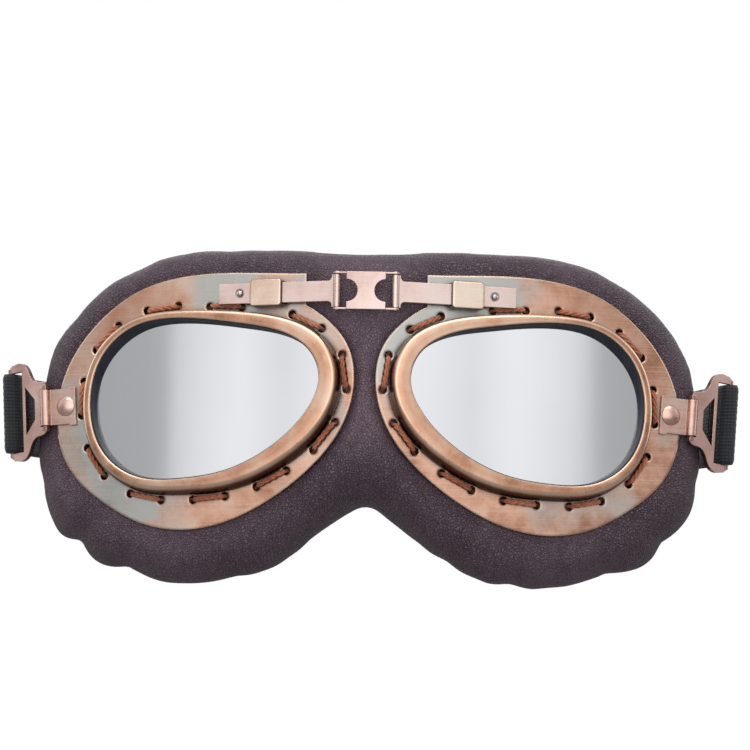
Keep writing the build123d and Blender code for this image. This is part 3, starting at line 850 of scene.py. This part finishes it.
def flat_block():
    """The mask's front view as a thick block with two eye holes, evenly meshed."""
    curve = bpy.data.curves.new("block", "CURVE")
    curve.dimensions = "2D"
    curve.fill_mode = "BOTH"
    curve.extrude = BLOCK_HALF * MM
    hole = eye_hole(count=160)
    for loop in (mask_outline(count=420), hole, hole * np.array((-1, 1))):
        spline = curve.splines.new("POLY")
        spline.points.add(len(loop) - 1)
        for point, (x, z) in zip(spline.points, loop):
            point.co = (x * MM, z * MM, 0, 1)
        spline.use_cyclic_u = True
    block = add_object("mask_block", baked(add_object("block", curve)))
    remesh = block.modifiers.new("even", "REMESH")
    remesh.mode = "VOXEL"
    remesh.voxel_size = VOXEL * MM
    return baked(block)


def front_y(x):
    """The mask's front face behind the plates, eased across the nose."""
    return APEX_Y + PLATE_THICK / cos(WRAP) + 0.1 + tan(WRAP) * (np.sqrt(x * x + 49.0) - 1.2)


def back_y(x):
    return FACE_RADIUS - np.sqrt(FACE_RADIUS ** 2 - x * x)


def rounded(gap, radius):
    """How far a rounded edge falls away at this distance in from the side."""
    reach = np.clip(radius - gap, 0, radius)
    return radius - np.sqrt(np.maximum(radius ** 2 - reach ** 2, 0))


def ripples(spots, seed, scale):
    """Soft seeded noise at each plan point, from -1 to 1."""
    return np.array([noise.noise(Vector((*(p * scale), seed))) for p in spots])


def gathers(place, rate, seed):
    """Soft folds round the cup, by how far round it each point is."""
    turns = 2 * pi * place
    spots = np.stack([np.cos(turns), np.sin(turns)], 1)
    return ripples(spots, seed, rate)


def lumps(place, seed):
    """Rounded swellings between narrow tucks, unevenly spaced round the edge, from 0 to 1."""
    chance = np.random.default_rng(seed)
    tucks = (np.arange(LUMP_COUNT) + chance.uniform(-0.34, 0.34, LUMP_COUNT)) / LUMP_COUNT
    size = chance.uniform(0.35, 1.0, LUMP_COUNT)
    tucks = np.concatenate([[tucks[-1] - 1], tucks, [tucks[0] + 1]])
    which = np.clip(np.searchsorted(tucks, place) - 1, 0, LUMP_COUNT)
    part = (place - tucks[which]) / (tucks[which + 1] - tucks[which])
    lean = 0.5 + 0.22 * np.sin(which * 2.3)
    part = np.where(part < lean, part / lean * 0.5, 0.5 + (part - lean) / (1 - lean) * 0.5)
    return np.sin(pi * np.clip(part, 0, 1)) ** 0.7 * size[which % LUMP_COUNT]


def outward_at(outline, place):
    """The outline's outward direction at each place round it, given from 0 to 1."""
    normal, count = outward(outline), len(outline)
    whole = np.floor(place * count).astype(int)
    part = (place * count - whole)[:, None]
    return normal[whole % count] * (1 - part) + normal[(whole + 1) % count] * part


def plate_folds(place, right):
    """Coarse and fine folds round each plate, different on the two sides."""
    coarse = np.where(right, gathers(place, 5.0, 11.3), gathers(place, 5.2, 3.1))
    fine = np.where(right, gathers(place, 10.0, 15.1), gathers(place, 10.5, 7.7))
    return coarse * 0.8 + fine * 0.45


def hump(distance, reach):
    """1 at no distance, falling away over reach."""
    return np.exp(-(distance / reach) ** 2)


def shape_mask(mesh):
    """Give the block the mask's form: the wrap, the rolled edges, the puff and the gathered folds."""
    co = read_vectors(mesh.vertices, "co") / MM
    plan = co[:, :2]
    x, z = plan[:, 0], plan[:, 1]
    half = np.stack([np.abs(x), z], 1)
    level = np.clip((co[:, 2] + BLOCK_HALF) / (2 * BLOCK_HALF), 0, 1)    # 1 at the front, 0 at the back
    outline = mask_outline(count=300)
    side_gap, side_place = depth_in(outline, plan)
    side_gap = np.maximum(side_gap, 0)
    out = outward_at(outline, side_place)
    hole_gap = np.maximum(-depth_in(eye_hole(count=120), half)[0], 0)
    plate_gap, plate_place = depth_in(front_view(smooth_loop(PLATE_CURVE, count=160), -PLATE_THICK), half)
    beyond = np.maximum(-plate_gap, 0)
    centre, brow = hump(x, 9.0), hump(x, 30.0)

    # The swellings and tucks round the edge, calm at the nose and beside the buckles
    below = np.clip(0.5 - out[:, 1], 0, 1)                # 1 along the underside, 0.5 at the sides
    beside = hump(z + 11.0, 15.0) * np.clip((np.abs(x) - 80.0) / 15.0, 0, 1)
    calm = (1 - 0.85 * brow) * (1 - beside)
    gather = (lumps(side_place, seed=8) - 0.42) * (0.9 + 3.4 * below ** 1.5) * calm
    folds = plate_folds(plate_place, x < 0)
    soft = ripples(plan, seed=4.2, scale=0.13)
    fold_room = np.clip(beyond / 3.0, 0, 1) * (1 - 0.7 * centre)

    # The front face: puffed between the plates and the edge, where it rolls back
    room = beyond + side_gap
    share = np.clip(beyond / np.maximum(room, 1e-6), 0, 1)
    puff = np.sin(pi * share ** 0.85) * np.clip(room / 12.0, 0, 1) * 1.9 * (1 - 0.55 * centre)
    roll = 9.0 + (4.5 + 3.0 * brow) * np.clip(-out[:, 1], 0, 1)
    deepest = back_y(x) - front_y(x) - BACK_ROUND - EDGE_THICK
    fall = rounded(side_gap, roll) * np.minimum(1, deepest / roll)
    front = front_y(x) - puff - (folds * 0.55 + soft * 0.3) * fold_room + creases(x, z) + fall
    front = front - gather * np.exp(-side_gap / 8.0) * fold_room * 0.9
    front = front + rounded(hole_gap, 2.0) + lace_groove(half)

    # The back face, on the head's curve
    back = back_y(x) - rounded(side_gap, BACK_ROUND) - rounded(hole_gap, 4.0) * 0.9
    inner = np.clip(side_gap / 4, 0, 1) * np.clip(hole_gap / 4, 0, 1)
    back = back + 0.5 * ripples(plan, seed=9.4, scale=0.09) * inner

    bulge = 0.5 + 0.5 * np.sin(pi * level)
    push = (gather + (folds * 0.35 + soft * 0.3) * (1 - beside)) * np.clip(1 - side_gap / 9.0, 0, 1)
    push = push * bulge - 0.5 * beside
    moved = np.stack([x + out[:, 0] * push, back + (front - back) * level, z + out[:, 1] * push], 1)
    mesh.vertices.foreach_set("co", (moved * MM).ravel())
    return level, side_gap, hole_gap


def lace_groove(half):
    """A groove under the plate for the cord, hidden but for the dark of the open holes."""
    away = np.abs(depth_in(front_view(lace_line(count=200), -PLATE_THICK), half)[0])
    return 3.2 * np.clip(1 - (away - 1.4) / 1.8, 0, 1)


def creases(x, z):
    """Shallow upright creases between the plates and fans of folds under the nose."""
    between = hump(x, 7.5) * np.clip((34 - z) / 12, 0, 1)
    upright = np.sin(x * 1.15 + 0.9 * np.sin(z * 0.13)) * 0.35
    under = hump(x, 20.0) * np.clip((-24 - z) / 8, 0, 1)
    fan = np.sin(np.arctan2(x, np.abs(z + 8.0)) * 26 + 0.6 * np.sin(z * 0.31)) * 0.32
    return between * upright + under * fan


def relax(mesh, rounds, factor):
    """A few rounds of smoothing."""
    every_way = {"use_axis_" + axis: True for axis in "xyz"}
    with edited(mesh) as bm:
        for _ in range(rounds):
            bmesh.ops.smooth_vert(bm, verts=bm.verts, factor=factor, **every_way)


def vertex_normals(mesh):
    return read_vectors(mesh.vertices, "normal")


def shifted(mesh, amount):
    """A copy of the mesh with each point moved along its normal by its own amount, in millimetres."""
    copy = mesh.copy()
    moved = read_vectors(mesh.vertices, "co") + vertex_normals(mesh) * amount[:, None] * MM
    copy.vertices.foreach_set("co", moved.ravel())
    return copy


def sheet_of(mesh, keep, thick):
    """A thick closed sheet made of the vertices kept, from their surface inward."""
    obj = add_object("skin", bpy.data.meshes.new("skin"))
    with edited(mesh, into=obj.data) as bm:
        bmesh.ops.delete(bm, geom=[v for v in bm.verts if not keep[v.index]], context="VERTS")
    solid = obj.modifiers.new("thick", "SOLIDIFY")
    solid.thickness = thick * MM
    solid.offset = -1
    solid.use_rim = True
    return baked(obj)


def stretch_of(mesh, low, high, name):
    """The part of a closed mesh between two x planes, closed at its cuts, keeping the whole's shading."""
    whole = mesh.copy()
    normals = whole.attributes.new("whole_normal", "FLOAT_VECTOR", "POINT")
    normals.data.foreach_set("vector", vertex_normals(whole).ravel())
    out = bpy.data.meshes.new(name)
    with edited(whole, into=out) as bm:
        for spot, turn in ((low, -1), (high, 1)):
            if spot is None:
                continue
            geom = list(bm.verts) + list(bm.edges) + list(bm.faces)
            cut = bmesh.ops.bisect_plane(bm, geom=geom, plane_co=(spot * MM, 0, 0), plane_no=(turn, 0, 0),
                                         clear_outer=True)
            rim = [e for e in cut["geom_cut"] if isinstance(e, bmesh.types.BMEdge)]
            bmesh.ops.holes_fill(bm, edges=rim, sides=0)
    keep_shading(out)
    return add_object(name, out)


def keep_shading(mesh):
    """Shade smooth with the normals the whole mesh had before it was cut."""
    mesh.polygons.foreach_set("use_smooth", [True] * len(mesh.polygons))
    kept = mesh.attributes["whole_normal"]
    normals = read_vectors(kept.data, "vector")
    lost = np.linalg.norm(normals, axis=1) < 0.5
    normals[lost] = vertex_normals(mesh)[lost]
    mesh.attributes.remove(kept)
    mesh.normals_split_custom_set_from_vertices([tuple(v) for v in unit(normals)])


def build_mask():
    """The leather cover and the padded lining, each cut where the cups and the nose part meet."""
    body = flat_block()
    level, side_gap, hole_gap = shape_mask(body)
    relax(body, rounds=3, factor=0.5)
    # The leather has the front and the rolled edge, the lining the back and the sides of the eye holes
    outer_skin = ((level > 0.06) | (side_gap < 6.5)) & ((hole_gap > 0.8) | (level > 0.985))
    cover = sheet_of(body, outer_skin, LEATHER_THICK)
    pad = shifted(body, np.where(outer_skin, -PAD_LIP, 0.0))
    # Each piece's name and its ends in x, its two bodies, and where it starts and ends to follow them
    spans = (("left", NOSE_CUT, None, "left_cup", "left_arm", SLIDE_EASE, NOSE_CUT),
             ("nose_left", 0, NOSE_CUT, "left_arm", "nose_bridge", NOSE_CUT, 0),
             ("nose_right", -NOSE_CUT, 0, "right_arm", "nose_bridge", -NOSE_CUT, 0),
             ("right", None, -NOSE_CUT, "right_cup", "right_arm", -SLIDE_EASE, -NOSE_CUT))
    layers = (("leather", cover, leather(), "leather", ("mask_cover_",)),
              ("pad", pad, velour(), "lining", ("mask_foam_", "mask_lining_")))
    for kind, mesh, look, slot_name, nodes in layers:
        for tag, low, high, a, b, start, end in spans:
            piece = stretch_of(mesh, low, high, f"mask_{kind}_{tag}")
            part = tag if tag in ("left", "right") else "nose"
            finish(piece, look, slot_name, *(node + part for node in nodes))
            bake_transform(piece)


# ---------- strap ----------

class StrapPlan:
    """The left bar's middle and lean, the legs' direction, and the strap's middle line in plan."""

    def __init__(self):
        mount = {m["name"]: m for m in frame["record"]["mounts"]}["left_strap_bar"]
        centre = np.array(mount["pos_m"]) / MM
        self.bar, self.height = centre[:2], centre[2]
        self.lean = np.array(mount["axis"])
        self.run = unit(np.array(HEAD_PATH[0]) - self.bar)
        self.layer = LOOP_R + STRAP_THICK / 2
        self.aside = rightward(self.run) * self.layer
        self.leg_end = self.bar + self.run * (LEG_LONG + LEG_GAP)
        over = (-HEAD_PATH[1][0], HEAD_PATH[1][1])
        corners = np.array([self.leg_end + self.aside, *HEAD_PATH, over])
        line = evenly(filleted(corners, HEAD_FILLET), count=500)
        self.line = line[line[:, 0] > -0.01]


def filleted(corners, radius):
    """A polyline with its corners turned into arcs."""
    pts = [corners[0]]
    for a, b, c in zip(corners, corners[1:], corners[2:]):
        u, v = unit(a - b), unit(c - b)
        turn = pi - np.arccos(np.clip(u @ v, -1, 1))
        reach = radius * np.tan(turn / 2)
        middle = b + unit(u + v) * radius / cos(turn / 2)
        first, last = b + u * reach, b + v * reach
        chord = first + (last - first) * np.linspace(0, 1, 24)[:, None]
        pts += list(middle + unit(chord - middle) * radius)
    pts.append(corners[-1])
    return np.array(pts)


def webbing_section():
    """How far out and how far up each point of the strap's section is: rounded and lightly ribbed."""
    section = []
    for side in (1, -1):
        for k in range(RIBS + 1):
            v = side * (-1 + 2 * k / RIBS)
            edge = 1 - np.clip((abs(v) - 0.93) / 0.07, 0, 1) ** 2 * 0.62
            rib = 0.05 * cos(v * pi * RIBS / 2)
            section.append((side * (STRAP_THICK / 2 * edge - 0.03 + rib), v * STRAP_HIGH / 2))
    return np.array(section)


def webbing(name, line, height, lean=(0.0, 0.0, 1.0), start_uv=0.0):
    """A woven strap along a plan line, its section carried upright or leaning."""
    section = webbing_section()
    lean = np.broadcast_to(lean, (len(line), 3))
    out = np.column_stack([rightward(unit(np.gradient(line, axis=0))), np.zeros(len(line))])
    middle = np.column_stack([line, np.full(len(line), height)])
    rings = [m + o * section[:, :1] + up * section[:, 1:] for m, o, up in zip(middle, out, lean)]
    obj = swept(name, rings)
    flat = unit(rightward(np.roll(section, -1, axis=0) - np.roll(section, 1, axis=0)))
    if flat[RIBS // 2, 0] < 0:
        flat = -flat
    normals = np.concatenate([o * flat[:, :1] + up * flat[:, 1:] for o, up in zip(out, lean)])
    obj.data.normals_split_custom_set_from_vertices([tuple(v) for v in unit(normals)])
    lengths = run_along(line) + start_uv
    uv = obj.data.uv_layers.new(name="weave")
    for face in obj.data.polygons:
        for corner in face.loop_indices:
            ring, place = divmod(obj.data.loops[corner].vertex_index, len(section))
            uv.data[corner].uv = (lengths[ring] * MM, (section[place, 1] + UV_ACROSS) * MM)
    return obj


def stretch_steps(low, high):
    return max(6, int((high - low) / STRAP_STEP))


def cut_line(line, low, high):
    """The stretch of a plan line between two lengths along it."""
    return at_lengths(line, np.linspace(low, high, stretch_steps(low, high)))


def blend_along(piece, line, low, high, a, b):
    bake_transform(piece)


def strap_stretch(name, plan, line, low, high, start_uv):
    """One stretch of strap, which eases from the bar's lean to upright if it is the first."""
    if low >= BUCKLE_END:
        return webbing(name, cut_line(line, low, high), plan.height, start_uv=start_uv)
    ease = np.linspace(0, 1, stretch_steps(low, high))[:, None]
    ease = ease * ease * (3 - 2 * ease)
    lean = plan.lean * (1 - ease) + np.array((0, 0, 1.0)) * ease
    return webbing(name, cut_line(line, low, high), plan.height, lean, start_uv)


def build_strap():
    """The loop round each strap bar, the sides and the back."""
    look = elastic()
    plan = StrapPlan()
    turn = strap_turn(plan)
    for side, obj in (("left", turn), ("right", mirrored(turn, "strap_turn_right"))):
        finish(obj, look, "elastic", f"strap_loop_{side}")
        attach(obj, f"{side}_buckle")
    for name, low, high, a, b in (("strap_near", 0.0, BUCKLE_END, "buckle", "cup"),
                                  ("strap_mid", BUCKLE_END, CUP_END, "cup", "arm"),
                                  ("strap_side", CUP_END, SIDE_END, "arm", "nose_bridge")):
        piece = strap_stretch(f"{name}_left", plan, plan.line, low, high, low)
        twin = mirrored(piece, f"{name}_right")
        for side, obj, flip in (("left", piece, 1), ("right", twin, -1)):
            finish(obj, look, "elastic", "strap_band")
            bodies = [body if body == "nose_bridge" else f"{side}_{body}" for body in (a, b)]
            blend_along(obj, plan.line * (flip, 1), low, high, *bodies)
    half = cut_line(plan.line, SIDE_END, run_along(plan.line)[-1])
    whole = np.vstack([half, (half * (-1, 1))[::-1][1:]])
    rear = webbing("strap_back", whole, plan.height, start_uv=SIDE_END)
    finish(rear, look, "elastic", "strap_band")
    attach(rear, "nose_bridge")
    build_return(plan, look)
    sew_strap(plan)


def strap_turn(plan):
    """The strap's turn round the left bar: out along one leg, round and back along the other."""
    legs = (plan.run * LEG_LONG, plan.run * LEG_LONG / 2)
    round_bar = [plan.aside * cos(turn) - plan.run * plan.layer * sin(turn)
                 for turn in np.linspace(0, pi, 22)]
    path = [leg + plan.aside for leg in legs] + round_bar + [leg - plan.aside for leg in legs[::-1]]
    return webbing("strap_turn_left", plan.bar + np.array(path), plan.height, plan.lean)


def build_return(plan, look):
    """The doubled end on the wearer's left, from the loop to the adjuster's middle bar."""
    band = cut_line(plan.line, 0, RETURN_LINE)
    lengths = np.linspace(0, RETURN_LINE, len(band))
    ease = np.clip(lengths / RETURN_EASE, 0, 1)[:, None]
    beside = band - rightward(unit(np.gradient(band, axis=0))) * (STRAP_THICK + 0.15)
    path = (plan.leg_end - plan.aside + plan.run * lengths[:, None]) * (1 - ease) + beside * ease
    for name, low, high, a, b in (("return_near", 0.0, BUCKLE_END, "left_buckle", "left_cup"),
                                  ("return_mid", BUCKLE_END, CUP_END, "left_cup", "left_arm"),
                                  ("return_side", CUP_END, RETURN_BEND, "left_arm", "nose_bridge"),
                                  ("return_end", RETURN_BEND, RETURN_END, "nose_bridge", "adjuster")):
        piece = strap_stretch(name, plan, path, low, high, low + RETURN_UV)
        finish(piece, look, "elastic", "strap_return")
        blend_along(piece, path, low, high, a, b)


def stitches(name, plan):
    """Rows of short thread stitches across the strap's outer face, one row at each length along it."""
    verts, faces = [], []
    for spot in STITCH_ROWS:
        here = at_lengths(plan.line, spot)
        ahead = unit(at_lengths(plan.line, spot + 0.5) - here)
        out = np.array((*rightward(ahead), 0.0))
        for k in range(STITCH_COUNT):
            up = (k + 0.5 - STITCH_COUNT / 2) * STITCH_STEP
            middle = np.array((*here, plan.height)) + plan.lean * up
            rings = []
            for t in np.linspace(-0.5, 0.5, STITCH_BENDS):
                lift = STRAP_THICK / 2 + STITCH_R * (1.2 - 6.0 * t * t)
                point = middle + plan.lean * t * STITCH_LONG + out * lift
                rings.append([point + out * STITCH_R * cos(a) + np.array((*ahead, 0)) * STITCH_R * sin(a)
                              for a in np.linspace(0, 2 * pi, STITCH_SIDES, endpoint=False)])
            skin = tube_faces(STITCH_BENDS, STITCH_SIDES, False)
            faces += [tuple(v + len(verts) for v in f) for f in skin]
            verts += [point for ring in rings for point in ring]
    return outside_out(add_mesh(name, verts, faces))


def sew_strap(plan):
    """The sewn end beside the wearer's right buckle, made on the left and mirrored."""
    sewn = stitches("sewing_right", plan)
    twin = mirrored(sewn, "sewing_right_thread")
    bpy.data.objects.remove(sewn)
    finish(twin, thread(), "elastic", "strap_band")
    blend_along(twin, plan.line * (-1, 1), 0.0, BUCKLE_END, "right_buckle", "right_cup")


# ---------- stage ----------

def build_camera():
    """The camera in front of the nose, turned and rolled a little, looking slightly up."""
    roll, pitch, yaw = (Matrix.Rotation(angle, 3, axis) for angle, axis in
                        ((CAMERA_ROLL, "Y"), (CAMERA_PITCH, "X"), (-CAMERA_YAW, "Z")))
    turn = (roll @ pitch @ yaw).transposed()
    right, forward, up = (turn @ Vector(v) for v in ((1, 0, 0), (0, 1, 0), (0, 0, 1)))
    place = Vector((0, APEX_Y * MM, 0)) - (right * CAMERA_ASIDE + forward * CAMERA_DISTANCE) * MM
    data = bpy.data.cameras.new("camera")
    data.lens = CAMERA_LENS
    data.sensor_width = 36.0
    data.clip_start = 0.01
    camera = add_object("camera", data)
    camera.matrix_world = Matrix.Translation(place) @ Matrix((right, up, -forward)).transposed().to_4x4()
    bpy.context.scene.camera = camera


def area_light(name, place, target, size, power):
    data = bpy.data.lights.new(name, "AREA")
    data.shape = "RECTANGLE"
    data.size, data.size_y = size
    data.energy = power
    light = add_object(name, data)
    light.location = place
    light.rotation_euler = (Vector(target) - Vector(place)).to_track_quat("-Z", "Y").to_euler()


def build_floor():
    """A pale floor well below the held-up goggles, white where the camera looks straight at it."""
    n = new_material("floor")
    speckle = n.noise(n.place(), 40.0, 3.0)
    seen = n.new("LightPath").outputs["Is Camera Ray"]
    n.set(Base_Color=n.grey(speckle, 0.25, 0.28, (0.3, 0.7)), Roughness=0.9,
          Emission_Color=(1.0, 1.0, 1.0), Emission_Strength=n.times(seen, 0.88))
    edge, level = 6000.0, -300.0
    corners = [(-edge, -edge, level), (edge, -edge, level), (edge, edge, level), (-edge, edge, level)]
    floor = add_mesh("floor", corners, [(0, 1, 2, 3)], smooth=False)
    paint(floor, n.owner)


def build_front_panel():
    """The big soft light in front, whose faded edges the lenses show as upright bands."""
    n = new_material("front_panel")
    aside = n.math("ABSOLUTE", n.plus(n.parts(n.place())["X"], PANEL_SHIFT))
    peak = PANEL_STOPS[0][1]
    glow = n.ramp(aside, [(spot, (value / peak,) * 3) for spot, value in PANEL_STOPS])
    emit = n.new("Emission")
    n.link(glow, emit.inputs["Color"])
    emit.inputs["Strength"].default_value = peak
    n.link(emit.outputs[0], n.tree.nodes["Material Output"].inputs["Surface"])
    wide, low, high, front = 1100.0, -330.0, 950.0, -1000.0
    corners = [(-wide, front, low), (-wide, front, high), (wide, front, high), (wide, front, low)]
    panel = add_mesh("front_panel", corners, [(0, 1, 2, 3)], smooth=False)
    paint(panel, n.owner)
    panel.visible_camera = False


def build_world():
    """Soft light from all round, brighter above, seen as white."""
    n = Nodes(bpy.data.worlds.new("studio"))
    bpy.context.scene.world = n.owner
    lift = n.plus(n.times(n.parts(n.place("Generated"))["Z"], 0.5), 0.5)
    glow = n.ramp(lift, [(0.40, (0.15,) * 3), (0.53, (0.38,) * 3), (0.85, (0.62,) * 3)])
    seen = n.new("LightPath").outputs["Is Camera Ray"]
    n.link(n.mix(seen, glow, (1.0, 1.0, 1.0)), n.tree.nodes["Background"].inputs["Color"])


def build_stage():
    """Floor, panel and soft lights round the goggles."""
    build_floor()
    build_front_panel()
    build_world()
    area_light("top_box", (0.0, -0.35, 0.95), (0, 0, 0), (1.1, 0.6), 4.0)
    area_light("left_fill", (-1.0, 0.2, 0.25), (0, 0, 0), (0.5, 0.8), 1.2)
    area_light("right_fill", (1.0, 0.2, 0.25), (0, 0, 0), (0.5, 0.8), 1.2)
    area_light("back_box", (0.0, 1.1, 0.5), (0, 0.1, 0), (1.2, 0.7), 2.0)


# ---------- the whole ----------

def build_eyecups():
    """New rims, gaskets and lacing on each cup."""
    rim_look = copper("copper_rim", RIM_TONES, (260.0, 260.0, 260.0), no_patina, 0.0004)
    for make, node, look, slot_name in ((rim_skin, "lens_rim", rim_look, "copper"),
                                        (gasket_skin, "lens_gasket", rubber(), "gasket_rubber"),
                                        (lacing_skin, "lacing", rust_cord(), "lace_cord")):
        left = make()
        right = mirrored(left, left.name.replace("_left", "_right"))
        for side, piece in (("left", left), ("right", right)):
            finish(piece, look, slot_name, f"{node}_{side}")
            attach(piece, f"{side}_cup")


def finish_cad_nodes():
    """Better materials on the CAD pieces that stay."""
    flat_brush, bent_brush = (30.0, 30.0, 2200.0), (50.0, 50.0, 1700.0)
    plate = copper("copper_plate", PLATE_TONES, (16.0, 16.0, 2400.0), plate_patina, 0.0010, 1.0)
    arm = copper("copper_arm", ARM_TONES, flat_brush, no_patina, edge_wear_and_shine=0.45, wall_shade=0.55)
    link = copper("copper_link", LINK_TONES, flat_brush, no_patina, edge_wear_and_shine=0.6, wall_shade=0.55)
    cream = copper("copper_keeper", KEEPER_TONES, (30.0, 30.0, 1800.0), no_patina, edge_wear_and_shine=0.25, wall_shade=1.0,
                   shade_reach=0.004)
    tab = copper("copper_tab", TAB_TONES, bent_brush, no_patina, edge_wear_and_shine=0.8, wall_shade=0.45)
    buckle = copper("copper_buckle", BUCKLE_TONES, bent_brush, no_patina, edge_wear_and_shine=0.8, wall_shade=0.45)
    looks = {"frame_plate": plate, "lens": mirror_glass(), "arm_stop_ball": steel(), "bridge_arm": arm,
             "bridge_link": link, "hinge_pin": arm, "keeper": cream, "tab_rivet": tab, "strap_tab": tab}
    for name, node in frame["nodes"].items():
        stem = name.removesuffix("_left").removesuffix("_right")
        paint(node, looks.get(stem, buckle))


finish_cad_nodes()
build_eyecups()
build_mask()
build_strap()
build_stage()
build_camera()
bpy.context.scene.view_settings.view_transform = "Standard"
